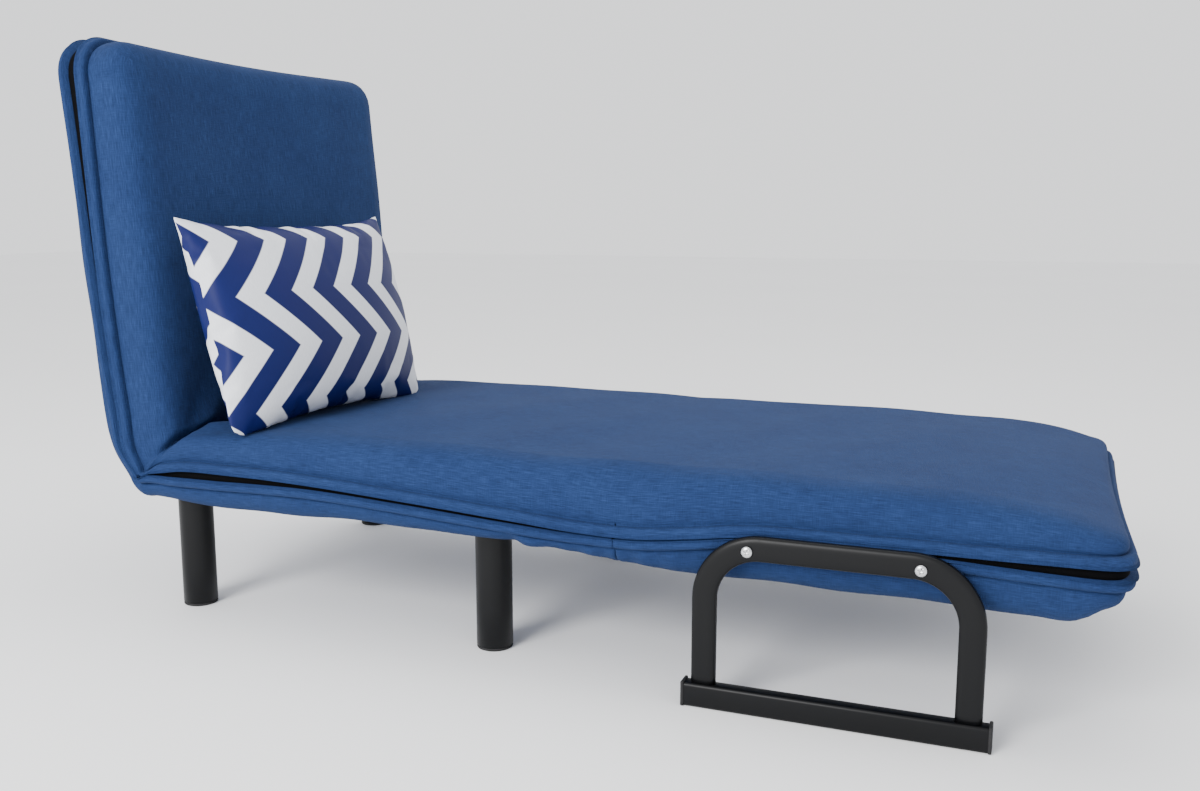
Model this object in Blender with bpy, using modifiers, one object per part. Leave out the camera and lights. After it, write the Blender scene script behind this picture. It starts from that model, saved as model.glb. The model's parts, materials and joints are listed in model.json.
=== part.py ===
"""Tri-fold chair bed: a reclining back, a seat on four legs and a foot section that folds over the seat.

Metres, +Z up, +X from the back towards the foot end, +Y towards the far side. The seat and the foot
lie level; the back stands on its ratchet hinges. Seat positions are measured from the rear legs.
"""

import math

import bmesh
import bpy
from mathutils import Matrix, Vector

GAP = 0.0003

# heights above the floor
DECK_Z = 0.200
PAD_TOP_Z = 0.2715
FOLD_Z = 0.272
COVER_BOTTOM_Z = 0.160

# places along the seat, from the rear legs
FRONT_LEG_X = 0.502
BACK_HINGE_X = -0.042
FOLD_X = 0.703
FOOT_END_X = 1.284
ARM_REAR_X = 0.824
ARM_FRONT_X = 1.1295
ARM_BOLT_X = (0.876, 1.072)

# across the width
COVER_HALF_W = 0.314
LEG_Y = 0.245
RAIL_OUT_Y = 0.2995
ARM_Y = 0.3305

# back section, measured from its hinge: along it, to its front face and to its rear face
BACK_LENGTH = 0.632
BACK_FRONT = 0.079
BACK_REAR = 0.042
BACK_LEAN = math.radians(5.0)
MITRE = math.radians(44.0)

# steel tube and wire
TUBE = 0.025
TUBE_WALL = 0.0015
WIRE_R = 0.0019
SPRING_Z = 0.0147
SPRING_Y = 0.115
SPRING_SWING = 0.034
RAIL_SETBACK = 0.016
RAIL_END_GAP = 0.012
RAIL_TIP_GAP = 0.020
TIP_CROSSBAR_GAP = 0.034
BACK_CROSSBAR_AT = 0.040
FOOT_CROSSBAR_AT = 0.085

# covers and pads
SKIN = 0.002
FOAM_BOTTOM = 0.017
ZIP_LOW = 0.0085
ZIP_HIGH = 0.0175
EDGE_R = 0.020

# round legs
LEG_R = 0.025
LEG_PAD_H = 0.004
LEG_WALL = 0.0017
LEG_CAP = 0.003
GLIDE_PLUG_TOP = 0.016

# arm frames
ARM_TUBE_R = 0.015
ARM_TOP_Z = 0.203
ARM_BEND_R = 0.067
ARM_BAR_H = 0.030
ARM_BAR_OVERHANG = 0.0255
ARM_BOLT_Z = 0.200
ARM_BAR_HALF_DEPTH = 0.010
STANDOFF_R = 0.0065
BOLT_R = 0.004
BOLT_HEAD_R = 0.0068
BOLT_GRIP = 0.012
HOLE_PLAY = 0.0003

# hinges
RATCHET_R = 0.015
RATCHET_REACH = 0.110
PIVOT_R = 0.0049
PLATE_T = 0.004
EAR_T = 0.003
EAR_EYE_R = 0.0045
EAR_Y = 0.271
EAR_SLOT_HALF = 0.0055
EAR_SLOT_REACH = 0.070
EAR_MOUTH_HALF = 0.012
RIVET_R = 0.0022
RIVET_HEAD_R = 0.0038
PIVOT_HEAD_R = 0.008

# cushion
PILLOW_SIZE = (0.140, 0.457, 0.305)
PILLOW_CENTRE = (0.116, -0.092, 0.433)
PILLOW_LEAN = math.radians(-16.0)
PILLOW_YAW = math.radians(-5.0)

# how far the zips stop short of the back hinge
ZIP_SETBACK = 0.002 + ZIP_HIGH / math.tan(MITRE)

# the middle of the whole length, so that the parts stand round the origin
BACK_TIP_X = BACK_HINGE_X - BACK_REAR * math.cos(BACK_LEAN) - BACK_LENGTH * math.sin(BACK_LEAN)
REAR_LEG_X = -(BACK_TIP_X + FOOT_END_X) / 2

BLUE = ((0.042, 0.107, 0.270), 0.90, 0.0)
ZIP_BLACK = ((0.012, 0.012, 0.014), 0.60, 0.0)
FOAM_WHITE = ((0.780, 0.760, 0.680), 0.95, 0.0)
STEEL_BLACK = ((0.022, 0.024, 0.027), 0.38, 0.6)
STEEL_GREY = ((0.300, 0.310, 0.320), 0.42, 0.9)
ZINC = ((0.560, 0.570, 0.580), 0.30, 1.0)
SPRING_STEEL = ((0.360, 0.370, 0.390), 0.35, 1.0)
RUBBER = ((0.018, 0.018, 0.019), 0.85, 0.0)
PILLOW_BLUE = ((0.020, 0.040, 0.330), 0.70, 0.0)


def clear_scene():
    for obj in list(bpy.data.objects):
        bpy.data.objects.remove(obj, do_unlink=True)
    for name in ("chair_bed", "cutters"):
        collection = bpy.data.collections.new(name)
        bpy.context.scene.collection.children.link(collection)


def material_for(name, look):
    colour, roughness, metallic = look
    material = bpy.data.materials.new(name)
    material.use_nodes = True
    shader = material.node_tree.nodes["Principled BSDF"]
    shader.inputs["Base Color"].default_value = (*colour, 1.0)
    shader.inputs["Roughness"].default_value = roughness
    shader.inputs["Metallic"].default_value = metallic
    return material


def make_empty(name, place, parent=None, turn=0.0):
    empty = bpy.data.objects.new(name, None)
    bpy.data.collections["chair_bed"].objects.link(empty)
    empty.location = place
    empty.rotation_euler = (0.0, turn, 0.0)
    empty.parent = parent
    return empty


def add_part(name, data, look, parent, place=(0, 0, 0), turn=(0, 0, 0)):
    obj = bpy.data.objects.new(name, data)
    bpy.data.collections["chair_bed"].objects.link(obj)
    obj.location = place
    obj.rotation_euler = turn
    obj.parent = parent
    data.materials.append(material_for(name, look))
    return obj


def mesh_from(bm, name):
    mesh = bpy.data.meshes.new(name)
    bm.to_mesh(mesh)
    bm.free()
    return mesh


def cube_mesh(low, high):
    bm = bmesh.new()
    bmesh.ops.create_cube(bm, size=1.0)
    low, high = (Vector(pick(pair) for pair in zip(low, high)) for pick in (min, max))
    bmesh.ops.scale(bm, vec=high - low, verts=bm.verts)
    bmesh.ops.translate(bm, vec=(high + low) / 2, verts=bm.verts)
    return bm


def rod_mesh(name, radius, start_y, end_y, sides=24):
    bm = bmesh.new()
    turn = Matrix.Translation((0, (start_y + end_y) / 2, 0)) @ Matrix.Rotation(math.pi / 2, 4, "X")
    bmesh.ops.create_cone(bm, cap_ends=True, segments=sides, radius1=radius, radius2=radius,
                          depth=abs(end_y - start_y), matrix=turn)
    return mesh_from(bm, name)


def box(name, low, high, look, parent, bevel=0.0):
    obj = add_part(name, mesh_from(cube_mesh(low, high), name), look, parent)
    if bevel:
        soften = obj.modifiers.new("soften", "BEVEL")
        soften.width = bevel
        soften.segments = 2
    return obj


def cut(obj, cutter_mesh, place=(0, 0, 0), operation="DIFFERENCE"):
    cutter = bpy.data.objects.new(obj.name + "_tool", cutter_mesh)
    bpy.data.collections["cutters"].objects.link(cutter)
    cutter.location = place
    cutter.parent = obj.parent
    cutter.hide_render = True
    cutter.display_type = "WIRE"
    boolean = obj.modifiers.new("cut", "BOOLEAN")
    boolean.operation = operation
    boolean.object = cutter


def outline_curve(name, outlines, thickness):
    curve = bpy.data.curves.new(name, "CURVE")
    curve.dimensions = "2D"
    curve.fill_mode = "BOTH"
    curve.extrude = thickness / 2
    for points in outlines:
        spline = curve.splines.new("POLY")
        spline.points.add(len(points) - 1)
        for point, place in zip(spline.points, points):
            point.co = (place[0], place[1], 0.0, 1.0)
        spline.use_cyclic_u = True
    return curve


def arc(centre, radius, start, end, steps):
    angles = [start + (end - start) * k / steps for k in range(steps + 1)]
    return [(centre[0] + radius * math.cos(a), centre[1] + radius * math.sin(a)) for a in angles]


def circle(centre, radius, sides=24):
    return arc(centre, radius, 0.0, 2 * math.pi * (sides - 1) / sides, sides - 1)


def square(side):
    half = side / 2
    return [(-half, -half), (half, -half), (half, half), (-half, half)]


def plate(name, outlines, near_y, far_y, look, parent, place=(0, 0)):
    """Flat plate standing in the XZ plane, between two distances across the width."""
    curve = outline_curve(name, outlines, abs(far_y - near_y))
    centre = (place[0], (near_y + far_y) / 2, place[1])
    return add_part(name, curve, look, parent, centre, (math.pi / 2, 0, 0))


def as_mesh(obj):
    """Turns a curve piece into a mesh piece with welded caps, so that it can be cut."""
    bpy.context.view_layer.update()
    depsgraph = bpy.context.evaluated_depsgraph_get()
    mesh = bpy.data.meshes.new_from_object(obj.evaluated_get(depsgraph))
    bm = bmesh.new()
    bm.from_mesh(mesh)
    bmesh.ops.remove_doubles(bm, verts=bm.verts, dist=0.00001)
    bm.to_mesh(mesh)
    bm.free()
    name = obj.name
    solid = bpy.data.objects.new(name + "_mesh", mesh)
    bpy.data.collections["chair_bed"].objects.link(solid)
    solid.parent = obj.parent
    solid.matrix_world = obj.matrix_world
    bpy.data.objects.remove(obj)
    solid.name = name
    return solid


def rail(name, start_x, end_x, centre_y, centre_z, parent):
    curve = outline_curve(name, [square(TUBE), square(TUBE - 2 * TUBE_WALL)], end_x - start_x)
    place = ((start_x + end_x) / 2, centre_y, centre_z)
    return add_part(name, curve, STEEL_GREY, parent, place, (0, math.pi / 2, 0))


def crossbar(name, x, z, parent):
    half_length = RAIL_OUT_Y - TUBE - GAP
    curve = outline_curve(name, [square(TUBE), square(TUBE - 2 * TUBE_WALL)], 2 * half_length)
    return add_part(name, curve, STEEL_GREY, parent, (x, 0, z), (math.pi / 2, 0, 0))


def zigzag_spring(name, start_x, end_x, centre_y, z, parent, loops):
    """Sinuous spring wire that runs from one crossbar to the next."""
    curve = bpy.data.curves.new(name, "CURVE")
    curve.dimensions = "3D"
    curve.bevel_depth = WIRE_R
    curve.bevel_resolution = 2
    curve.use_fill_caps = True
    spline = curve.splines.new("POLY")
    steps = loops * 4
    spline.points.add(steps)
    for k in range(steps + 1):
        angle = 2 * math.pi * k / 4 + math.pi / 4
        y = SPRING_SWING * math.sin(angle)
        spline.points[k].co = (start_x + (end_x - start_x) * k / steps, y, 0.0, 1.0)
    return add_part(name, curve, SPRING_STEEL, parent, (0, centre_y, z))


def shaped_block(low, high, start_x, end_x):
    """Block between two cross-sections; each end's place depends on the height."""
    bm = cube_mesh(low, high)
    middle = (low[0] + high[0]) / 2
    for vert in bm.verts:
        vert.co.x = start_x(vert.co.z) if vert.co.x < middle else end_x(vert.co.z)
    return bm


def remove_faces(bm, directions):
    """Opens the block on the sides that face the given directions."""
    bm.normal_update()
    doomed = [f for f in bm.faces if any(f.normal.dot(Vector(d)) > 0.6 for d in directions)]
    bmesh.ops.delete(bm, geom=doomed, context="FACES")


def cover(name, bm, open_sides, look, parent):
    """Cover shell: an open box with rounded folds, thickened inwards."""
    remove_faces(bm, open_sides)
    folds = [edge for edge in bm.edges if len(edge.link_faces) == 2 and edge.calc_face_angle() > 0.5]
    bmesh.ops.bevel(bm, geom=folds, offset=EDGE_R, segments=3, profile=0.5, affect="EDGES")
    shell = add_part(name, mesh_from(bm, name), look, parent)
    thicken = shell.modifiers.new("thicken", "SOLIDIFY")
    thicken.thickness = SKIN
    thicken.offset = -1.0
    thicken.use_even_offset = True
    return shell


def foam(name, bm, closed_x, look, parent):
    """Foam block with its top and outer corners rounded to fit inside its cover."""
    top = max(v.co.z for v in bm.verts)
    side = max(v.co.y for v in bm.verts)
    folds = []
    for edge in bm.edges:
        ends = [v.co for v in edge.verts]
        on_top = all(abs(p.z - top) < 1e-6 for p in ends)
        on_side = all(abs(abs(p.y) - side) < 1e-6 for p in ends) and abs(ends[0].y - ends[1].y) < 1e-6
        on_end = closed_x is not None and all(abs(p.x - closed_x) < 1e-6 for p in ends)
        if (on_top and on_side) or (on_end and (on_top or on_side)):
            folds.append(edge)
    bmesh.ops.bevel(bm, geom=folds, offset=EDGE_R - SKIN, segments=3, profile=0.5, affect="EDGES")
    return add_part(name, mesh_from(bm, name), look, parent)


def mitred(hinge_x, facing):
    """End plane beside the back hinge: slanted above the hinge's axis, upright below it."""
    def place(z):
        return hinge_x + facing * (0.002 + max(z, 0.0) / math.tan(MITRE))
    return place


def upright(x):
    return lambda z: x


def section_pads(label, upper, lower, parent, zero, top, bottom, start_x, end_x, closed_x):
    """Foam, upper cover and lower cover of one section, from its own deck plane's height."""
    inside = COVER_HALF_W - SKIN - 0.0005
    ends = (start_x(0.0), end_x(0.0))
    shrink = 0.0 if closed_x is None else math.copysign(SKIN + 0.0005, closed_x - sum(ends) / 2)
    foam_start = start_x if shrink >= 0 else upright(closed_x - shrink)
    foam_end = end_x if shrink <= 0 else upright(closed_x - shrink)
    foam_closed = None if closed_x is None else closed_x - shrink
    foam_low = (ends[0], -inside, zero + FOAM_BOTTOM)
    foam_high = (ends[1], inside, zero + top - SKIN - 0.0005)
    block = shaped_block(foam_low, foam_high, lambda z: foam_start(z - zero), lambda z: foam_end(z - zero))
    filling = foam(f"{label}_foam", block, foam_closed, FOAM_WHITE, parent)
    opened = [] if closed_x is None else [math.copysign(1.0, -shrink)]
    sides = [(-1, 0, 0), (1, 0, 0)] if not opened else [(opened[0], 0, 0)]
    skins = []
    for name, low, high, open_z in (
        (upper, ZIP_HIGH + GAP, top, -1), (lower, -bottom, ZIP_LOW - GAP, 1),
    ):
        block = shaped_block((ends[0], -COVER_HALF_W, zero + low), (ends[1], COVER_HALF_W, zero + high),
                             lambda z: start_x(z - zero), lambda z: end_x(z - zero))
        skins.append(cover(name, block, sides + [(0, 0, open_z)], BLUE, parent))
    return filling, skins[0], skins[1]


def end_zip(name, zero, start_x, end_x, closed_side, parent):
    """Zip tape round one end of the mattress: two sides and the end between them."""
    bm = cube_mesh((start_x, -COVER_HALF_W, zero + ZIP_LOW), (end_x, COVER_HALF_W, zero + ZIP_HIGH))
    remove_faces(bm, [(0, 0, 1), (0, 0, -1), (-closed_side, 0, 0)])
    corners = [edge for edge in bm.edges if len(edge.link_faces) == 2]
    bmesh.ops.bevel(bm, geom=corners, offset=EDGE_R, segments=3, profile=0.5, affect="EDGES")
    tape = add_part(name, mesh_from(bm, name), ZIP_BLACK, parent)
    thicken = tape.modifiers.new("thicken", "SOLIDIFY")
    thicken.thickness = SKIN
    thicken.offset = -1.0
    thicken.use_even_offset = True


def turned(name, profile, look, parent, place, turn=(0, 0, 0), steps=24):
    """Solid of revolution about the local Z axis from a profile of radius and height."""
    bm = bmesh.new()
    verts = [bm.verts.new((radius, 0.0, height)) for radius, height in profile]
    for a, b in zip(verts, verts[1:]):
        bm.edges.new((a, b))
    bmesh.ops.spin(bm, geom=bm.verts[:] + bm.edges[:], cent=(0, 0, 0), axis=(0, 0, 1),
                   angle=2 * math.pi, steps=steps, use_merge=True)
    bmesh.ops.remove_doubles(bm, verts=bm.verts, dist=0.00001)
    bmesh.ops.recalc_face_normals(bm, faces=bm.faces)
    return add_part(name, mesh_from(bm, name), look, parent, place, turn)


def build_seat(seat):
    rear = BACK_HINGE_X + RAIL_SETBACK
    for side, where in ((-1, "near"), (1, "far")):
        rail(f"seat_rail_{where}", rear, FOLD_X - RAIL_END_GAP, side * (RAIL_OUT_Y - TUBE / 2), DECK_Z, seat)
        zigzag_spring(f"seat_spring_{where}", 0.0, FRONT_LEG_X, side * SPRING_Y, DECK_Z + SPRING_Z, seat, 8)
        low = (BACK_HINGE_X + ZIP_SETBACK, side * COVER_HALF_W, DECK_Z + ZIP_LOW)
        high = (FOLD_X - 0.0005, side * (COVER_HALF_W - SKIN), DECK_Z + ZIP_HIGH)
        box(f"seat_zip_{where}", low, high, ZIP_BLACK, seat)
    crossbar("seat_crossbar_rear", 0.0, DECK_Z, seat)
    crossbar("seat_crossbar_front", FRONT_LEG_X, DECK_Z, seat)
    filling, upper, lower = section_pads(
        "seat", "seat_upper_cover", "seat_lower_cover", seat, DECK_Z, PAD_TOP_Z - DECK_Z,
        DECK_Z - COVER_BOTTOM_Z, mitred(BACK_HINGE_X, 1), upright(FOLD_X - 0.0005), None,
    )
    cut_ear_slots(filling, upper, FOLD_X - EAR_SLOT_REACH, FOLD_X + 0.010)
    build_legs(seat, lower)


def cut_ear_slots(filling, upper, low_x, high_x):
    """Slots in the foam, and mouths in its cover, for the hinge ears; the places are in the seat's frame."""
    for side in (-1, 1):
        near = side * EAR_Y - EAR_SLOT_HALF
        far = side * EAR_Y + EAR_SLOT_HALF
        slot = cube_mesh((low_x, near, DECK_Z), (high_x, far, FOLD_Z + 0.02))
        cut(filling, mesh_from(slot, "ear_slot"), -frame_origin(filling))
        mouth_low = (FOLD_X - EAR_MOUTH_HALF, near, FOLD_Z - 0.02)
        mouth = cube_mesh(mouth_low, (FOLD_X + EAR_MOUTH_HALF, far, FOLD_Z + 0.02))
        cut(upper, mesh_from(mouth, "ear_mouth"), -frame_origin(upper))


def frame_origin(obj):
    """Origin of the piece's own frame, in the seat's frame."""
    return obj.parent.location if obj.parent.parent else Vector((0, 0, 0))


def build_legs(seat, lower):
    for x, end in ((0.0, "rear"), (FRONT_LEG_X, "front")):
        for side, where in ((-1, "near"), (1, "far")):
            place = (x, side * LEG_Y, 0.0)
            top = DECK_Z - TUBE / 2 - GAP
            inner = LEG_R - LEG_WALL
            shell = [
                (0.0, top), (LEG_R, top), (LEG_R, LEG_PAD_H + GAP), (inner, LEG_PAD_H + GAP),
                (inner, top - LEG_CAP), (0.0, top - LEG_CAP),
            ]
            turned(f"leg_{end}_{where}", shell, STEEL_BLACK, seat, place)
            glide = [
                (0.0, 0.0), (LEG_R - 0.0005, 0.0), (LEG_R - 0.0005, LEG_PAD_H), (LEG_R - 0.0022, LEG_PAD_H),
                (LEG_R - 0.0022, GLIDE_PLUG_TOP), (0.0, GLIDE_PLUG_TOP),
            ]
            turned(f"leg_glide_{end}_{where}", glide, RUBBER, seat, place)
            hole = bmesh.new()
            bmesh.ops.create_cone(hole, cap_ends=True, segments=24, radius1=LEG_R + 0.003,
                                  radius2=LEG_R + 0.003, depth=0.05)
            cut(lower, mesh_from(hole, "leg_hole"), (x, side * LEG_Y, COVER_BOTTOM_Z))


def ratchet_outline(facing):
    """Round toothed head about the hinge pin, with a tongue that reaches along the rail."""
    teeth = []
    for k in range(17):
        angle = math.radians(80) + math.radians(200) * k / 16
        radius = RATCHET_R if k % 2 == 0 else RATCHET_R - 0.002
        teeth.append((facing * radius * math.cos(angle), radius * math.sin(angle)))
    tongue = [(facing * RATCHET_REACH, -0.010), (facing * RATCHET_REACH, 0.010)]
    return [teeth + tongue, circle((0, 0), PIVOT_R + 0.0005)]


def build_ratchets(seat, back):
    for side, where in ((-1, "near"), (1, "far")):
        inner = side * (RAIL_OUT_Y + GAP)
        middle = inner + side * PLATE_T
        outer = middle + side * (GAP + PLATE_T)
        hinge = (BACK_HINGE_X, DECK_Z)
        plate(f"ratchet_plate_{where}", ratchet_outline(1), inner, middle, STEEL_GREY, seat, hinge)
        plate(f"ratchet_arm_{where}", ratchet_outline(-1), middle + side * GAP, outer, STEEL_GREY, back)
        length = abs(outer - inner)
        pin = [
            (0.0, -0.003), (PIVOT_HEAD_R, -0.003), (PIVOT_HEAD_R, -GAP), (PIVOT_R, -GAP),
            (PIVOT_R, length + GAP),
            (0.0065, length + GAP), (0.0065, length + 0.002), (0.0, length + 0.002),
        ]
        turned(f"ratchet_pin_{where}", pin, ZINC, back, (0, inner, 0), (-side * math.pi / 2, 0, 0), steps=20)


def build_back(back):
    tip = -(BACK_LENGTH - TIP_CROSSBAR_GAP)
    for side, where in ((-1, "near"), (1, "far")):
        y = side * (RAIL_OUT_Y - TUBE / 2)
        rail(f"back_rail_{where}", RAIL_TIP_GAP - BACK_LENGTH, -RAIL_SETBACK, y, 0.0, back)
        zigzag_spring(f"back_spring_{where}", tip, -BACK_CROSSBAR_AT, side * SPRING_Y, SPRING_Z, back, 9)
    crossbar("back_crossbar_lower", -BACK_CROSSBAR_AT, 0.0, back)
    crossbar("back_crossbar_top", tip, 0.0, back)
    section_pads("back", "back_front_cover", "back_rear_cover", back, 0.0, BACK_FRONT, BACK_REAR,
                 upright(-BACK_LENGTH), mitred(0.0, -1), -BACK_LENGTH)
    end_zip("back_zip", 0.0, -BACK_LENGTH, -ZIP_SETBACK, -1, back)


def build_foot(foot):
    zero = DECK_Z - FOLD_Z
    length = FOOT_END_X - FOLD_X
    for side, where in ((-1, "near"), (1, "far")):
        y = side * (RAIL_OUT_Y - TUBE / 2)
        side_rail = rail(f"foot_rail_{where}", RAIL_END_GAP, length - RAIL_TIP_GAP, y, zero, foot)
        drill_rail(side_rail, side, zero)
    crossbar("foot_crossbar_rear", FOOT_CROSSBAR_AT, zero, foot)
    crossbar("foot_crossbar_front", length - TIP_CROSSBAR_GAP, zero, foot)
    zigzag_spring("foot_spring", FOOT_CROSSBAR_AT, length - TIP_CROSSBAR_GAP, 0.0, zero + SPRING_Z, foot, 8)
    filling, upper, lower = section_pads(
        "foot", "foot_upper_cover", "foot_lower_cover", foot, zero, PAD_TOP_Z - DECK_Z,
        DECK_Z - COVER_BOTTOM_Z, upright(0.0005), upright(length), length,
    )
    cut_ear_slots(filling, upper, FOLD_X - 0.010, FOLD_X + EAR_SLOT_REACH)
    for x in ARM_BOLT_X:
        notch = cube_mesh((-0.008, -0.4, -0.008), (0.008, 0.4, 0.015))
        cut(lower, mesh_from(notch, "bolt_notch"), (x - FOLD_X, 0, zero))
    end_zip("foot_zip", zero, 0.0005, length, 1, foot)


def drill_rail(piece, side, zero):
    solid = as_mesh(piece)
    for x in ARM_BOLT_X:
        inner = side * (RAIL_OUT_Y - TUBE / 2)
        drill = rod_mesh("rail_drill", BOLT_R + HOLE_PLAY, inner, side * COVER_HALF_W, 16)
        cut(solid, drill, (x - FOLD_X, 0, zero + ARM_BOLT_Z - DECK_Z))


def ear_outline(facing):
    """Ear plate from its rail up to the eye on the fold axis, in the fold axis's frame."""
    zero = DECK_Z - FOLD_Z
    eye = arc((0, 0), EAR_EYE_R, math.radians(35), math.radians(215), 8)
    if facing > 0:
        eye = [(-x, z) for x, z in reversed(eye)]
    foot = [
        (facing * 0.016, zero - 0.010), (facing * 0.062, zero - 0.010),
        (facing * 0.062, zero + 0.010), (facing * 0.034, zero + 0.012),
    ]
    if facing < 0:
        foot = list(reversed(foot))
    return [eye + foot, circle((0, 0), RIVET_R + 0.0004, 16)]


def build_fold_ears(seat, foot):
    for side, where in ((-1, "near"), (1, "far")):
        rail_face = side * (RAIL_OUT_Y - TUBE - GAP)
        seat_inner = rail_face - side * EAR_T
        foot_outer = seat_inner - side * GAP
        foot_inner = foot_outer - side * EAR_T
        fold = (FOLD_X, FOLD_Z)
        plate(f"seat_fold_ear_{where}", ear_outline(-1), seat_inner, rail_face, STEEL_GREY, seat, fold)
        blank = plate(f"foot_fold_ear_{where}", ear_outline(1), foot_inner, foot_outer, STEEL_GREY, foot)
        ear = as_mesh(blank)
        zero = DECK_Z - FOLD_Z
        pad = cube_mesh((0.030, foot_outer - side * 0.001, zero - 0.008), (0.058, rail_face, zero + 0.008))
        bmesh.ops.recalc_face_normals(pad, faces=pad.faces)
        cut(ear, mesh_from(pad, "weld_pad"), (0, 0, 0), "UNION")
        length = 2 * EAR_T + GAP
        rivet = [
            (0.0, -0.0013), (RIVET_HEAD_R, -0.0013), (RIVET_HEAD_R, -GAP), (RIVET_R, -GAP),
            (RIVET_R, length + GAP), (RIVET_HEAD_R, length + GAP), (RIVET_HEAD_R, length + 0.0013),
            (0.0, length + 0.0013),
        ]
        lying = (-side * math.pi / 2, 0, 0)
        turned(f"fold_rivet_{where}", rivet, ZINC, foot, (0, foot_inner, 0), lying, steps=16)


def arm_path():
    """Centre line of the arch: up one leg, round two bends and down the other leg."""
    low = ARM_BAR_H + GAP
    shoulder = ARM_TOP_Z - ARM_BEND_R
    rear = (ARM_REAR_X + ARM_BEND_R, shoulder)
    front = (ARM_FRONT_X - ARM_BEND_R, shoulder)
    return (
        [(ARM_REAR_X, low)] + arc(rear, ARM_BEND_R, math.pi, math.pi / 2, 6)
        + arc(front, ARM_BEND_R, math.pi / 2, 0.0, 6) + [(ARM_FRONT_X, low)]
    )


def build_arm(side, where, foot):
    curve = bpy.data.curves.new("arm", "CURVE")
    curve.dimensions = "3D"
    curve.bevel_depth = ARM_TUBE_R
    curve.bevel_resolution = 3
    curve.use_fill_caps = True
    path = arm_path()
    spline = curve.splines.new("POLY")
    spline.points.add(len(path) - 1)
    for point, (x, z) in zip(spline.points, path):
        point.co = (x - FOLD_X, 0.0, z - FOLD_Z, 1.0)
    arm = as_mesh(add_part(f"arm_frame_{where}", curve, STEEL_BLACK, foot))
    flatten_and_move(arm, (1.0, 0.5, 1.0), (0.0, side * ARM_Y, 0.0))
    standoff_start = side * (RAIL_OUT_Y + GAP)
    for x in ARM_BOLT_X:
        place = (x - FOLD_X, 0.0, ARM_BOLT_Z - FOLD_Z)
        cut(arm, rod_mesh("standoff", STANDOFF_R, standoff_start, side * ARM_Y, 16), place, "UNION")
    for x in ARM_BOLT_X:
        place = (x - FOLD_X, 0.0, ARM_BOLT_Z - FOLD_Z)
        cut(arm, rod_mesh("bolt_hole", BOLT_R + HOLE_PLAY, side * 0.28, side * 0.36, 16), place)
    build_floor_bar(side, where, foot)
    build_arm_bolts(side, where, foot)


def build_floor_bar(side, where, foot):
    low = (ARM_REAR_X - FOLD_X - ARM_BAR_OVERHANG, side * ARM_Y - ARM_BAR_HALF_DEPTH, -FOLD_Z)
    high = (ARM_FRONT_X - FOLD_X + ARM_BAR_OVERHANG, side * ARM_Y + ARM_BAR_HALF_DEPTH, ARM_BAR_H - FOLD_Z)
    box(f"arm_floor_bar_{where}", low, high, STEEL_BLACK, foot, bevel=0.003)


def build_arm_bolts(side, where, foot):
    face = ARM_Y + ARM_TUBE_R / 2 + GAP
    for x, end in zip(ARM_BOLT_X, ("rear", "front")):
        inner = RAIL_OUT_Y - BOLT_GRIP
        bolt = [
            (0.0, inner - face), (BOLT_R, inner - face), (BOLT_R, 0.0), (BOLT_HEAD_R, 0.0),
            (BOLT_HEAD_R, 0.0014), (0.0050, 0.0030), (0.0, 0.0034),
        ]
        turned(f"arm_bolt_{end}_{where}", bolt, ZINC, foot, (x - FOLD_X, side * face, ARM_BOLT_Z - FOLD_Z),
               (-side * math.pi / 2, 0, 0), steps=16)


def flatten_and_move(obj, factors, shift):
    bm = bmesh.new()
    bm.from_mesh(obj.data)
    bmesh.ops.scale(bm, vec=factors, verts=bm.verts)
    bmesh.ops.translate(bm, vec=shift, verts=bm.verts)
    bm.to_mesh(obj.data)
    bm.free()


def build_zip_slider(seat):
    """Slider body with its pull, outside the far zip tape."""
    body = [(-0.006, -0.0045), (0.006, -0.0045), (0.006, 0.0045), (-0.006, 0.0045)]
    pull = [(-0.006, 0.002), (-0.026, 0.0025), (-0.028, 0.0), (-0.026, -0.0025), (-0.006, -0.002)]
    outline = body + pull
    near_y = COVER_HALF_W + GAP
    plate("zip_slider", [outline], near_y, near_y + 0.0035, ZINC, seat, (FOLD_X - 0.060, DECK_Z + 0.013))


def build_pillow(seat):
    """Loose lumbar cushion: a block swelled towards its middle, thin along its seams."""
    bm = bmesh.new()
    bmesh.ops.create_cube(bm, size=2.0)
    bmesh.ops.subdivide_edges(bm, edges=bm.edges, cuts=3, use_grid_fill=True)
    depth, width, height = (size / 2 for size in PILLOW_SIZE)
    for vert in bm.verts:
        x, y, z = vert.co
        swell = math.sqrt(max(0.0, (1 - y ** 4) * (1 - z ** 4)))
        pinch = 1.0 - 0.05 * (1 - max(abs(y), abs(z)) ** 2 * min(abs(y), abs(z)) ** 2)
        vert.co = (x * (0.005 + (depth - 0.005) * swell), y * width * pinch, z * height * pinch)
    pillow = add_part("pillow", mesh_from(bm, "pillow"), PILLOW_BLUE, seat, PILLOW_CENTRE,
                      (0, PILLOW_LEAN, PILLOW_YAW))
    smooth = pillow.modifiers.new("smooth", "SUBSURF")
    smooth.levels = 1
    smooth.render_levels = 1


def main():
    clear_scene()
    seat = make_empty("seat_frame_origin", (REAR_LEG_X, 0, 0))
    back = make_empty("back_axis", (BACK_HINGE_X, 0, DECK_Z), seat, math.pi / 2 - BACK_LEAN)
    foot = make_empty("foot_axis", (FOLD_X, 0, FOLD_Z), seat)
    build_seat(seat)
    build_back(back)
    build_foot(foot)
    build_ratchets(seat, back)
    build_fold_ears(seat, foot)
    for side, where in ((-1, "near"), (1, "far")):
        build_arm(side, where, foot)
    build_zip_slider(seat)
    build_pillow(seat)


main()
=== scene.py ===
"""Chair bed with a reclining back and a fold-over foot section: the finished fabric, cushion and metal."""

import json
import math

import bmesh
import bpy
import numpy as np
from bpy.props import FloatProperty, FloatVectorProperty, PointerProperty
from mathutils import Matrix, Vector


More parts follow.
